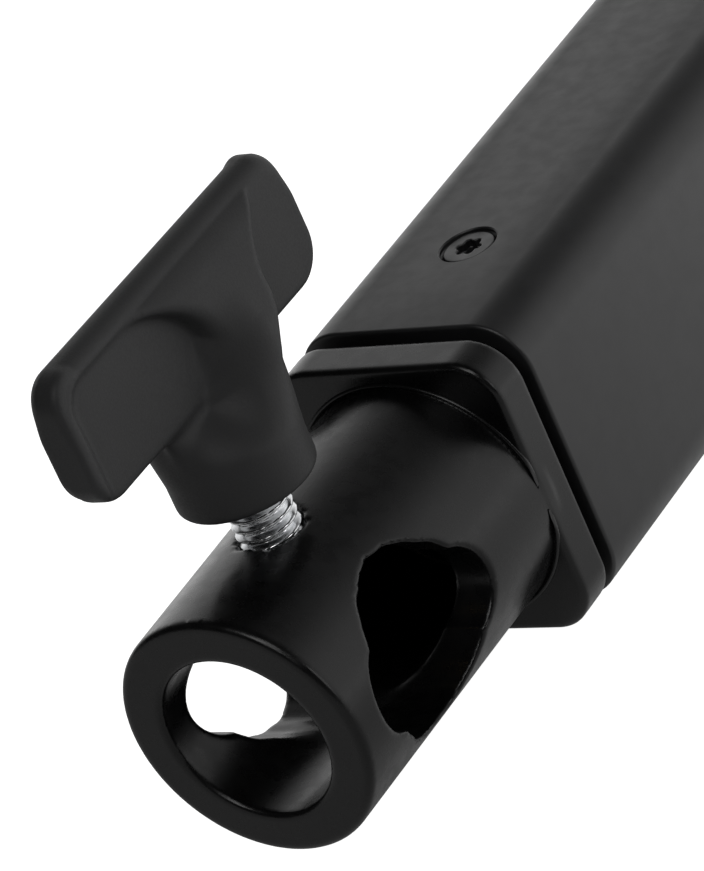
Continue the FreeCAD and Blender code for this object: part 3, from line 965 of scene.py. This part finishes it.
@dataclass
class SocketEnd(SubAssembly):
    """The cast stud socket with its flange, and the plug that goes in the outer tube."""

    mouth: float = 12.27
    root: float = 12.45
    length: float = 34.6
    mouth_round: float = 0.7
    flange_corner: float = 4.6
    flange_edge: float = 0.5
    fillet: float = 0.3
    bead: float = 0.24
    bead_radius: float = 12.75
    bead_reach: float = 12.4
    lobe: float = 4.6
    lobe_offset: float = 5.5
    bore_edge: float = 0.6
    hole_edge: float = 0.5
    step: float = 0.3
    plug_corner: float = 3.3
    plug_wall: float = 3.5
    plug_growth: float = 0.2
    half_width: float = 12.38
    search_width: float = 12.6
    flange_gap: float = 1.3
    stud: float = 3.05
    chip_width: float = 0.25
    chip_depth: float = 12.1
    hole_waves: Waves = ((0.05, 7, 1.0), (0.04, 13, 2.0), (0.03, 23, 0.0))
    chip_waves: Waves = ((0.16, 5, 1.3), (0.12, 11, 0.0), (0.1, 17, 0.7))

    def __post_init__(self) -> None:
        """Reads the sizes that the frame gives."""
        bore = mount("socket_bore")["dims"]
        self.bore = bore["r_mm"]
        self.bore_depth = bore["length_mm"]
        self.cross = mount("cross_hole")["dims"]["r_mm"]
        self.cross_offset = mount("cross_hole")["pos_m"][1] / MM
        self.flange = high_mm("socket_fitting")
        self.flange_back = low_mm("arm_tube").y - self.flange_gap

    def solid(self, x: Array, y: Array, z: Array) -> Array:
        """Distance to the casting, without its plug."""
        away = np.hypot(x, z)
        radius = self.mouth + (self.root - self.mouth) * y / self.length
        barrel = extrude(away - radius, between(y, 0, self.length + 2), self.mouth_round)
        outline = rounded_rectangle(x, z, self.half_width, self.flange.z, self.flange_corner)
        flange = extrude(outline, between(y, self.length, self.flange_back), self.flange_edge)
        body = blend_min(barrel, flange, self.fillet)
        bore = np.maximum(away - self.bore, y - self.bore_depth)
        body = carve(body, bore, self.bore_edge)
        along = y - self.cross_offset
        rough = ragged(np.arctan2(z, along), self.hole_waves)
        hole = np.hypot(along, z) - self.cross + rough * np.sign(x)
        for side in (-1, 1):
            lobe = np.hypot(along - side * self.lobe_offset, z) - self.lobe
            hole = np.minimum(hole, lobe)
        body = carve(body, hole, self.hole_edge)
        return carve(body, self.stud_hole(x, along, z), 0.35)

    def stud_hole(self, x: Array, along: Array, z: Array) -> Array:
        """Distance to the clamp stud's hole, its mouth left ragged where the coat has chipped."""
        away = np.hypot(x, along)
        rough = ragged(np.arctan2(x, along), self.chip_waves)
        chipped = away - (self.stud + self.chip_width + rough) + 0.9 * np.maximum(self.chip_depth - z, 0)
        return np.where(z > 0, np.minimum(away - self.stud, chipped), away + 50)

    def build_bead(self) -> None:
        """Makes the thin raised bead that runs round the barrel on the flange's face."""
        columns, steps = 120, 12
        angles = steps_round(columns)
        rows = []
        for step in range(steps):
            turn = 2 * math.pi * step / steps
            radius = self.bead_radius + self.bead * math.cos(turn)
            along = self.length - self.bead * math.sin(turn)
            side = np.clip(radius * np.cos(angles), -self.bead_reach, self.bead_reach)
            rows.append(np.column_stack([side, np.full(columns, along), radius * np.sin(angles)]))
        bead = make_piece("socket_bead", np.vstack(rows), ring_faces(steps, columns, True))
        tidy_normals(bead)
        self.keep(bead, Slot.CAST, Body.OUTER, "socket_fitting")

    def build(self) -> None:
        """Makes the casting and its plug."""
        casting = skinned("socket_casting", self.solid, (-self.search_width, 0, -self.flange.z),
                          (self.search_width, self.flange_back, self.flange.z), self.step)
        self.keep(casting, Slot.CAST, Body.OUTER, "socket_fitting")
        self.build_bead()
        width, height, corner = section_of("slider_plug", self.plug_corner)
        section = (width + self.plug_growth, height + self.plug_growth, corner)
        end = self.flange.y
        wall = [(0, self.flange_back - 0.3, 0), (0, end, 0.6), (self.plug_wall, end, 0.4),
                (self.plug_wall, self.flange_back - 0.3, 0)]
        self.keep(sleeve("socket_plug", section, wall), Slot.CAST, Body.OUTER, "socket_fitting")


# ---------------------------------------------------------------- tubes

@dataclass
class Tubes(SubAssembly):
    """The outer tube, the inner tube that slides in it, and the moulded guide collar between them."""

    outer_corner: float = 5.2
    outer_wall: float = 1.8
    inner_corner: float = 2.2
    inner_wall: float = 1.5
    end_round: float = 0.35
    sink: float = 2.8
    shank: float = 1.55
    collar_inset: float = 0.15
    slide_gap: float = 1.2
    slide_clearance: float = 0.2
    plug_clearance: float = 0.1
    foot_hole: float = 3.6
    block_hole_depth: float = 3.9

    def wall(self, start: float, end: float, thickness: float) -> list[tuple[float, float, float]]:
        """The outline of a plain tube's wall, with its end edges rounded."""
        return [(0, start, self.end_round), (0, end, self.end_round), (thickness, end, self.end_round / 2),
                (thickness, start, self.end_round / 2)]

    def holes(self, nodes: list[str], depth: float) -> list[bpy.types.Object]:
        """Countersink tools for the screws named, on the faces that they go in."""
        tools = []
        for node in nodes:
            place, side = screw_seat(node)
            tools.append(countersink_tool("tool_" + node, place, side, self.sink, self.shank, depth))
        return tools

    def block_holes(self) -> list[bpy.types.Object]:
        """Tools for the holes under the lock block: one for the stud's foot and two for the screws."""
        top = high_mm("arm_tube").z
        tools = []
        for node, radius in (("lock_stud", self.foot_hole), ("block_screw_front", self.shank),
                             ("block_screw_rear", self.shank)):
            middle = middle_mm(node)
            outline = [(0.001, top + 1), (radius, top + 1), (radius, top - self.block_hole_depth),
                       (0.001, top - self.block_hole_depth)]
            tools.append(round_tool("tool_" + node, middle, outline))
        return tools

    def build_outer(self) -> None:
        """Makes the outer tube."""
        section = section_of("arm_tube", self.outer_corner)
        start, end = low_mm("arm_tube").y, high_mm("arm_tube").y
        tube = sleeve("outer_tube", section, self.wall(start, end, self.outer_wall))
        tidy_normals(tube)
        tools = self.holes(["socket_screw_top", "socket_screw_bottom"], self.outer_wall + 1)
        cut_away(tube, tools + self.block_holes())
        self.keep(tube, Slot.TUBE, Body.OUTER, "arm_tube")

    def build_inner(self) -> None:
        """Makes the inner tube."""
        section = section_of("inner_tube", self.inner_corner)
        start, end = low_mm("inner_tube").y, high_mm("inner_tube").y
        tube = sleeve("sliding_tube", section, self.wall(start, end, self.inner_wall))
        tidy_normals(tube)
        screws = [f"{name}_screw_{face}" for name in ("slider", "spigot") for face in ("top", "bottom")]
        cut_away(tube, self.holes(screws, self.inner_wall + 1))
        self.keep(tube, Slot.INNER, Body.INNER, "inner_tube")

    def build_collar(self) -> None:
        """Makes the guide collar: a rim behind the tube and a thin sleeve in it."""
        section = section_of("arm_tube", self.outer_corner)
        rim_start = high_mm("arm_tube").y + 0.02
        start, end = low_mm("guide_collar").y, high_mm("guide_collar").y
        outside = self.outer_wall + self.plug_clearance
        inside = self.outer_wall + self.slide_gap - self.slide_clearance
        wall = [(self.collar_inset, rim_start, 0.25), (self.collar_inset, end, 0.9), (inside, end, 0.45),
                (inside, start, 0.2), (outside, start, 0.2), (outside, rim_start, 0)]
        collar = sleeve("nylon_guide_collar", section, wall)
        tidy_normals(collar)
        cut_away(collar, self.block_holes())
        self.keep(collar, Slot.NYLON, Body.OUTER, "guide_collar")

    def build(self) -> None:
        """Makes both tubes and the collar."""
        self.build_outer()
        self.build_inner()
        self.build_collar()


# ---------------------------------------------------------------- T-handle screws

@dataclass
class THandleScrew(SubAssembly):
    """One clamp screw: a moulded T-handle on a zinc-plated stud with a swivelling brass foot."""

    prefix: str
    turn: float
    handle_body: Body
    hub: float = 6.55
    hub_round: float = 0.7
    hub_straight: float = 4.4
    root_low: float = 10.4
    root_high: float = 17.0
    root_turn: Span = (-3, 7)
    root_reach: float = 10.5
    root_top: float = 18
    side_sink: float = 1.2
    side_sink_span: Span = (-2.0, 1.5)
    top_sink: float = 2.2
    top_sink_span: Span = (12.5, 17.5)
    halves_meet: Span = (-1.5, 1.5)
    neck_top: float = 14
    wing_fillet: float = 3.6
    flare: float = 0.13
    flare_start: float = 3
    wing_reach: float = 18.8
    wing_low: float = 9.9
    wing_high: float = 22.85
    top_corner: float = 3.1
    low_corner: float = 3.8
    half_thickness: float = 1.85
    wing_edge: float = 0.7
    top_edge: float = 1.75
    top_edge_span: Span = (17, 21)
    swell_most: float = 3.4
    swell_full: float = 9.0
    swell_top: float = 22.6
    swell_low_span: Span = (-2.5, 5.0)
    swell_high_span: Span = (-19.5, 2.0)
    swell_change: Span = (12.5, 19)
    swell_roll: float = 2.6
    flank: float = 9.7
    flank_foot: float = 7.0
    flank_span: Span = (8.5, 14.5)
    flank_bow: float = 0.1
    flank_bow_start: float = 15
    flank_lean: Span = (0.85, 0.53)
    crease: float = 0.7
    crease_growth: float = 0.5
    crease_span: Span = (9, 13)
    dish_middle: float = 14.9
    dish_centre: float = 8.0
    dish_half_length: float = 8.9
    dish_half_height: float = 6.0
    dish_corners: tuple[float, float, float] = (5.7, 2.6, 0.6)
    dish_edge: float = 0.7
    sweep_along: float = 9.2
    sweep_up: float = 11.2
    sweep_radius: float = 9.9
    dish_floor: float = 1.35
    dish_draft: float = 0.35
    shoulder_draft: float = 0.5
    shoulder_span: Span = (9, 14)
    bore_depth: float = 2.5
    grip_step: float = 0.27
    pitch: float = 1.0
    thread_radius: float = 3.0
    thread_depth: float = 0.6
    thread_crest: float = 0.16
    thread_flank: float = 0.64
    nose: float = 1.3
    neck: float = 1.05
    nose_length: float = 0.45
    columns: int = 64
    rows_to_a_turn: int = 14

    def side_view(self, along: Array, up: Array) -> Array:
        """Distance in the plane of the wings to their outline."""
        middle = (self.wing_low + self.wing_high) / 2
        half_height = (self.wing_high - self.wing_low) / 2
        corner = np.where(up > middle, self.top_corner, self.low_corner)
        return rounded_rectangle(along, up - middle, self.wing_reach, half_height, corner)

    def wings(self, along: Array, across: Array, up: Array) -> Array:
        """Distance to the plate that both wings are part of."""
        edge = self.wing_edge + (self.top_edge - self.wing_edge) * ramp(up, *self.top_edge_span)
        return extrude(self.side_view(along, up), np.abs(across) - self.half_thickness, edge)

    def face_and_flank(self, along: Array, across: Array, up: Array, lowest: Array) -> Array:
        """Distance to the swelling's face, which rolls down from the top edge, and to its steep flank."""
        low_share = ramp(along, *self.swell_low_span)
        high_share = ramp(along, *self.swell_high_span)
        share = low_share + (high_share - low_share) * ramp(up, *self.swell_change)
        roll = np.clip((up - self.swell_full) / (self.swell_top - self.swell_full), 0, 1)
        thickness = self.half_thickness + self.swell_most * (1 - roll * roll) * share - lowest
        face = (across - thickness) * 0.9
        edge = self.flank - (self.flank - self.flank_foot) * fall(up, *self.flank_span)
        edge = edge + self.flank_bow * np.maximum(up - self.flank_bow_start, 0) ** 2
        lean_along, lean_across = self.flank_lean
        flank = (along - edge) * lean_along + (across - self.half_thickness) * lean_across
        return blend_max(face, flank, self.crease + self.crease_growth * fall(up, *self.crease_span))

    def silhouette(self, along: Array, up: Array) -> Array:
        """Distance in the plane of the wings to the outline of wings and hub, with a fillet between them."""
        flare = self.flare * np.maximum(up - self.flare_start, 0)
        neck = blend_max(np.abs(along) - self.hub - flare, between(up, -2, self.neck_top), 1.0)
        return blend_min(self.side_view(along, up), neck, self.wing_fillet)

    def swelling(self, along: Array, across: Array, up: Array) -> Array:
        """Distance to the swelling of one side of the wings."""
        body = self.face_and_flank(along, across, up, 0)
        roll = self.wing_edge + self.swell_roll * ramp(up, 15, 21) * ramp(along, -18.5, -11)
        body = blend_max(body, self.side_view(along, up), roll)
        return np.maximum(body, -0.5 - across)

    def root(self, along: Array, across: Array, up: Array) -> Array:
        """Distance to one side of the hub, a round column that turns into the swelling as it rises."""
        top = self.root_low + (self.root_high - self.root_low) * ramp(along, *self.root_turn)
        share = ramp(up, self.hub_straight, top)
        flare = self.flare * np.maximum(up - self.flare_start, 0)
        flare = flare * ramp(along, 0, 6) * ramp(across, -0.5, 3.5)
        column = np.hypot(along, across) - self.hub - flare
        side_sunk = self.side_sink * fall(along, *self.side_sink_span)
        sunk = side_sunk + self.top_sink * ramp(up, *self.top_sink_span)
        upper = self.face_and_flank(along, across, up, sunk)
        body = column + (upper - column) * share
        body = np.maximum(body, self.silhouette(along, up))
        return np.maximum(body, np.maximum(np.abs(along) - self.root_reach, up - self.root_top))

    def dish(self, along: Array, across: Array, up: Array) -> Array:
        """Distance to the thumb dish on one wing, whose floor is flat and whose sides slope outward."""
        round_corner, high_corner, low_corner = self.dish_corners
        at_end = np.where(up > self.dish_middle, high_corner, low_corner)
        corner = np.where(along > -self.dish_centre, round_corner, at_end)
        above_floor = np.maximum(across - self.dish_floor, 0)
        lean = self.dish_draft + (self.shoulder_draft - self.dish_draft) * fall(up, *self.shoulder_span)
        outline = rounded_rectangle(along + self.dish_centre, up - self.dish_middle, self.dish_half_length,
                                    self.dish_half_height, corner)
        sweep_along = np.maximum(along + self.sweep_along, 0)
        sweep = np.hypot(sweep_along, np.maximum(up - self.sweep_up, 0)) - self.sweep_radius
        outline = np.maximum(outline, sweep) - lean * above_floor
        return blend_max(outline * 0.8, self.dish_floor - across, 0.6)

    def join_reach(self, up: Array, low: float, high: float) -> Array:
        """Fillet radius of a join, wide below low and next to nothing above high."""
        return 0.02 + 0.8 * fall(up, low, high)

    def solid(self, x: Array, y: Array, z: Array) -> Array:
        """Distance to the T-handle, with its hub's underside at z = 0 and its wings along y."""
        body = self.wings(y, x, z)
        for side in (-1, 1):
            body = blend_min(body, self.swelling(side * y, side * x, z), self.join_reach(z, 16, 20))
        body = np.maximum(body, z - self.wing_high)
        body = np.maximum(body, np.abs(y) - self.wing_reach)
        for side in (-1, 1):
            body = carve(body, self.dish(side * y, side * x, z), self.dish_edge)
        share = ramp(x, *self.halves_meet)
        root = self.root(y, x, z) * share + self.root(-y, -x, z) * (1 - share)
        body = blend_min(body, root, self.join_reach(z, 11, 16))
        body = blend_max(body, -z, self.hub_round)
        bore = np.maximum(np.hypot(x, y) - self.thread_radius - 0.15, z - self.bore_depth)
        return carve(body, bore, 0.3)

    def build_grip(self) -> None:
        """Makes the T-handle and sets it at its angle on the arm."""
        grip = skinned(self.prefix + "_t_handle", self.solid, (-self.hub, -self.wing_reach, 0),
                       (self.hub, self.wing_reach, self.wing_high), self.grip_step)
        centre = middle_mm(self.prefix + "_stud")
        base = low_mm(self.prefix + "_grip").z + 0.01
        turn = Matrix.Rotation(math.radians(self.turn), 4, "Z")
        grip.data.transform(Matrix.Translation(Vector((centre.x, centre.y, base)) * MM) @ turn)
        self.keep(grip, Slot.GRIP, self.handle_body, self.prefix + "_grip")

    def thread(self, phase: Array) -> Array:
        """Depth of the thread below its crest at a phase of the turn, from 0 to 1."""
        from_crest = np.abs(((phase + 0.5) % 1.0) - 0.5) * 2
        return self.thread_depth * np.clip((from_crest - self.thread_crest) / self.thread_flank, 0, 1)

    def build_stud(self) -> None:
        """Makes the stud: a helical thread above the narrow nose that turns in the foot."""
        node = self.prefix + "_stud"
        low, centre = low_mm(node).z, middle_mm(node)
        start = high_mm(self.prefix + "_foot").z + 0.05
        top = low_mm(self.prefix + "_grip").z + 2.0
        nose_top = low + self.nose_length
        outline = [(ON_AXIS, low), (self.nose, low), (self.nose, nose_top), (self.neck, nose_top + 0.05),
                   (self.neck, start)]
        angles = steps_round(self.columns)
        rows = [level_ring(radius, height, angles) for radius, height in outline]
        for height in np.arange(start, top, self.pitch / self.rows_to_a_turn):
            radius = self.thread_radius - 0.02 - self.thread(height / self.pitch - angles / (2 * math.pi))
            radius = np.minimum(radius, self.thread_radius - self.thread_depth + max(height - start, 0))
            rows.append(level_ring(radius, height, angles))
        faces = capped_faces(len(rows), self.columns)
        points = np.vstack(rows) + np.array([centre.x, centre.y, 0])
        stud = make_piece(self.prefix + "_threaded_stud", points, faces, 50)
        self.keep(stud, Slot.ZINC, self.handle_body, node)

    def build(self) -> None:
        """Makes the T-handle and stud, and dresses the foot."""
        self.build_grip()
        self.build_stud()
        self.paints.coat_node(self.prefix + "_foot")


# ---------------------------------------------------------------- lock block

@dataclass
class LockBlock(SubAssembly):
    """The threaded block on the outer tube that carries the lock screw."""

    corner: float = 3.0
    edge: float = 0.8
    tapped: float = 3.05
    sink: float = 2.8
    shank: float = 1.55
    step: float = 0.22
    under: float = 3.0
    lift: float = 0.02

    def __post_init__(self) -> None:
        """Reads the block's box and its screws' places from the frame."""
        self.low, self.high = low_mm("lock_block"), high_mm("lock_block")
        self.middle = (self.low + self.high) / 2
        self.half = (self.high - self.low) / 2
        self.screws = [middle_mm("block_screw_front").y, middle_mm("block_screw_rear").y]

    def solid(self, x: Array, y: Array, z: Array) -> Array:
        """Distance to the block."""
        along = y - self.middle.y
        outline = rounded_rectangle(x, along, self.half.x, self.half.y, self.corner)
        body = extrude(outline, np.maximum(z - self.high.z, self.low.z - self.under - z), self.edge)
        body = np.maximum(body, self.low.z + self.lift - z)
        body = carve(body, np.hypot(x, along) - self.tapped, 0.5)
        for place in self.screws:
            away = np.hypot(x, y - place)
            cone = (away - self.sink - (z - self.high.z)) * math.sqrt(0.5)
            body = carve(body, np.minimum(cone, away - self.shank), 0.12)
        return body

    def build(self) -> None:
        """Makes the block."""
        margin = SKIN_MARGIN * self.step
        reach = Vector((margin, margin, margin))
        points, quads = skin(self.solid, self.low - reach, self.high + reach, self.step)
        block = make_piece("lock_screw_block", points, quads)
        self.keep(block, Slot.CAST, Body.OUTER, "lock_block")


# ---------------------------------------------------------------- spigot end

@dataclass
class SpigotEnd(SubAssembly):
    """The cast end of the inner tube and the grooved steel spigot bolted into it."""

    flange_corner: float = 3.6
    flange_edge: float = 0.6
    flange_thickness: float = 4.0
    boss: float = 10.6
    boss_fillet: float = 1.2
    seat: float = 6.53
    seat_depth: float = 6
    seat_gap: float = 0.03
    plug_corner: float = 0.6
    plug_wall: float = 1.6
    groove: float = 6.3
    groove_width: float = 9.0
    groove_from_end: float = 11.0
    chamfer: float = 1.2
    thread_pitch: float = 1.27
    thread_depth: float = 0.5
    step: float = 0.3

    def __post_init__(self) -> None:
        """Reads the casting's place and size from the frame."""
        self.high = high_mm("spigot_fitting")
        self.start = high_mm("inner_tube").y

    def solid(self, x: Array, y: Array, z: Array) -> Array:
        """Distance to the casting, without its plug."""
        away = np.hypot(x, z)
        outline = rounded_rectangle(x, z, self.high.x, self.high.z, self.flange_corner)
        back = self.start + self.flange_thickness
        body = extrude(outline, between(y, self.start, back), self.flange_edge)
        boss = extrude(away - self.boss, between(y, self.start + 1, self.high.y), self.flange_edge)
        body = blend_min(body, boss, self.boss_fillet)
        return carve(body, np.maximum(away - self.seat, self.high.y - self.seat_depth - y), 0.3)

    def build_fitting(self) -> None:
        """Makes the casting and the plug that goes in the inner tube."""
        high = self.high
        casting = skinned("spigot_casting", self.solid, (-high.x, self.start, -high.z), high, self.step)
        self.keep(casting, Slot.CAST, Body.INNER, "spigot_fitting")
        width, height, corner = section_of("inner_tube", self.plug_corner)
        section = (width - 2 * self.plug_wall, height - 2 * self.plug_wall, corner)
        front, back = low_mm("spigot_fitting").y, self.start + 0.3
        wall = [(0, front, 0.4), (0, back, 0), (self.plug_wall, back, 0), (self.plug_wall, front, 0.4)]
        self.keep(sleeve("spigot_plug", section, wall), Slot.CAST, Body.INNER, "spigot_fitting")

    def build_spigot(self) -> None:
        """Makes the spigot, with its groove, chamfers and tapped end."""
        pin = mount("spigot_pin")["dims"]
        tap = mount("spigot_thread")["dims"]
        tapped, bottom = tap["r_mm"], tap["length_mm"]
        back, end = low_mm("spigot").y, high_mm("spigot").y
        start = self.high.y
        radius = pin["r_mm"]
        slope_width = radius - self.groove
        groove_end = end - self.groove_from_end
        groove_start = groove_end - self.groove_width
        slope_start, slope_end = groove_start - slope_width, groove_end + slope_width
        tail = self.seat - self.seat_gap
        profile = [(ON_AXIS, back), (tail, back), (tail, start), (radius - 0.3, start), (radius, start + 0.3),
                   (radius, slope_start - 0.15), (radius - 0.15, slope_start + 0.1),
                   (self.groove + 0.1, groove_start - 0.1), (self.groove, groove_start + 0.2),
                   (self.groove, groove_end - 0.2), (self.groove + 0.1, groove_end + 0.1),
                   (radius - 0.15, slope_end - 0.1), (radius, slope_end + 0.15),
                   (radius, end - self.chamfer - 0.15), (radius - 0.1, end - self.chamfer + 0.05),
                   (radius - self.chamfer + 0.05, end - 0.05), (radius - self.chamfer - 0.15, end),
                   (tapped + 0.75, end), (tapped + 0.15, end - 0.55)]
        first = 0.6
        root = tapped + self.thread_depth
        for number in range(int((bottom - first) / self.thread_pitch)):
            place = end - first - self.thread_pitch * number
            profile += [(root, place - 0.2), (root, place - 0.35), (tapped, place - 0.85),
                        (tapped, place - 1.05)]
        profile += [(tapped, end - bottom), (ON_AXIS, end - bottom - 0.8)]
        self.keep(turned("grooved_spigot", profile, 96, 25), Slot.SPIGOT, Body.INNER, "spigot")

    def build(self) -> None:
        """Makes both pieces and dresses the hidden bolt, washer and slider."""
        self.build_fitting()
        self.build_spigot()
        for node in ("spigot_bolt", "spigot_washer", "slider_plug"):
            self.paints.coat_node(node)


# ---------------------------------------------------------------- studio

@dataclass
class SoftLight:
    """A rectangular soft light that faces a point."""

    name: str
    place: tuple[float, float, float]
    width: float
    height: float
    power: float
    aim: tuple[float, float, float] = (0.0, 0.05, 0.0)

    def build(self) -> None:
        """Makes the light."""
        lamp = bpy.data.lights.new(self.name, "AREA")
        lamp.shape = "RECTANGLE"
        lamp.size = self.width
        lamp.size_y = self.height
        lamp.energy = self.power
        holder = bpy.data.objects.new(self.name, lamp)
        bpy.context.scene.collection.objects.link(holder)
        place = Vector(self.place)
        holder.location = place
        holder.rotation_euler = (Vector(self.aim) - place).to_track_quat("-Z", "Y").to_euler()


@dataclass
class Studio:
    """Camera, pale floor and soft light."""

    camera_place: tuple[float, float, float] = (0.2842, -0.2921, 0.2251)
    camera_turn: tuple[float, float, float] = (2.087, 0.314, -0.711)
    lens: float = 225.09
    floor_reach: float = 3.0
    floor_near: float = 0.04
    floor_far: float = 0.95
    floor_seen: float = 1.0
    floor_change: Span = (-0.02, 0.16)
    backdrop_along: Span = (-0.1, 0.5)
    backdrop_up: Span = (0.3, 0.85)
    backdrop: float = 0.95
    room: float = 0.035
    lights: list[SoftLight] = field(default_factory=lambda: [
        SoftLight("overhead_softbox", (0.42, -0.4, 1.03), 0.35, 0.35, 1.2),
        SoftLight("right_softbox", (1.2, 0.1, 0.5), 0.3, 0.5, 1.5),
        SoftLight("front_softbox", (0.16, -0.72, 0.8), 0.45, 0.45, 2.2),
    ])

    def build_camera(self) -> None:
        """Makes the camera at the arm's socket end, looking down on it from the right."""
        camera = bpy.data.cameras.new("camera")
        camera.lens = self.lens
        camera.sensor_width = 36.0
        camera.clip_start = 0.01
        holder = bpy.data.objects.new("camera", camera)
        bpy.context.scene.collection.objects.link(holder)
        axis = Vector(self.camera_turn)
        world_to_lens = Matrix.Rotation(axis.length, 3, axis.normalized())
        flip = Matrix(((1, 0, 0), (0, -1, 0), (0, 0, -1)))
        turn = (flip @ world_to_lens).transposed()
        holder.matrix_world = Matrix.Translation(self.camera_place) @ turn.to_4x4()
        bpy.context.scene.camera = holder

    def build_floor(self) -> None:
        """Makes the floor: white to the camera, a glow that brightens along Y to every other ray."""
        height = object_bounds()[0][2]
        reach = self.floor_reach
        sides = ((-1, -1), (1, -1), (1, 1), (-1, 1))
        corners = [(side_x * reach, side_y * reach, height) for side_x, side_y in sides]
        mesh = bpy.data.meshes.new("floor")
        mesh.from_pydata(corners, [], [(0, 1, 2, 3)])
        floor = bpy.data.objects.new("floor", mesh)
        bpy.context.scene.collection.objects.link(floor)
        nodes = Nodes("pale_floor")
        nodes.give("Base Color", (0.85, 0.85, 0.85, 1))
        nodes.give("Roughness", 0.9)
        nodes.give("Specular IOR Level", 0.0)
        nodes.give("Emission Color", (1, 1, 1, 1))
        along = nodes.axes(nodes.place)["Y"]
        glow = nodes.spread(along, *self.floor_change, self.floor_near, self.floor_far)
        seen = nodes.add("ShaderNodeLightPath").outputs["Is Camera Ray"]
        glow = nodes.math("MAXIMUM", glow, nodes.math("MULTIPLY", seen, self.floor_seen))
        nodes.give("Emission Strength", glow)
        mesh.materials.append(nodes.material)
        floor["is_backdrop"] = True

    def build_world(self) -> None:
        """Makes the white surround, bright low behind the arm and dim elsewhere."""
        world = bpy.data.worlds.new("surround")
        bpy.context.scene.world = world
        world.use_nodes = True
        graph = Graph(world.node_tree)
        background = world.node_tree.nodes["Background"].inputs
        background["Color"].default_value = (1, 1, 1, 1)
        axes = graph.axes(graph.add("ShaderNodeTexCoord").outputs["Generated"])
        behind = graph.spread(axes["Y"], *self.backdrop_along)
        low_down = graph.spread(axes["Z"], *self.backdrop_up, self.backdrop, 0)
        total = graph.math("ADD", graph.math("MULTIPLY", behind, low_down), self.room)
        graph.join(total, background["Strength"])

    def build(self) -> None:
        """Sets up the whole studio."""
        bpy.context.scene.view_settings.view_transform = "Standard"
        self.build_camera()
        self.build_floor()
        self.build_world()
        for light in self.lights:
            light.build()


def main() -> None:
    """Builds the arm and its studio in order and reports each piece."""
    logging.basicConfig(level=logging.INFO, format="%(message)s")
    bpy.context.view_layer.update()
    Studio().build()
    paints = Paintbox()
    assemblies = [
        SocketEnd(paints), Tubes(paints), ScrewSet(paints), LockBlock(paints), SpigotEnd(paints),
        THandleScrew(paints, "clamp", -0.7, Body.CLAMP_HANDLE),
        THandleScrew(paints, "lock", 12.0, Body.LOCK_HANDLE),
    ]
    for assembly in assemblies:
        assembly.build()
        log.info("%s: %d pieces", type(assembly).__name__, len(assembly.pieces))


if __name__ == "__main__":
    main()
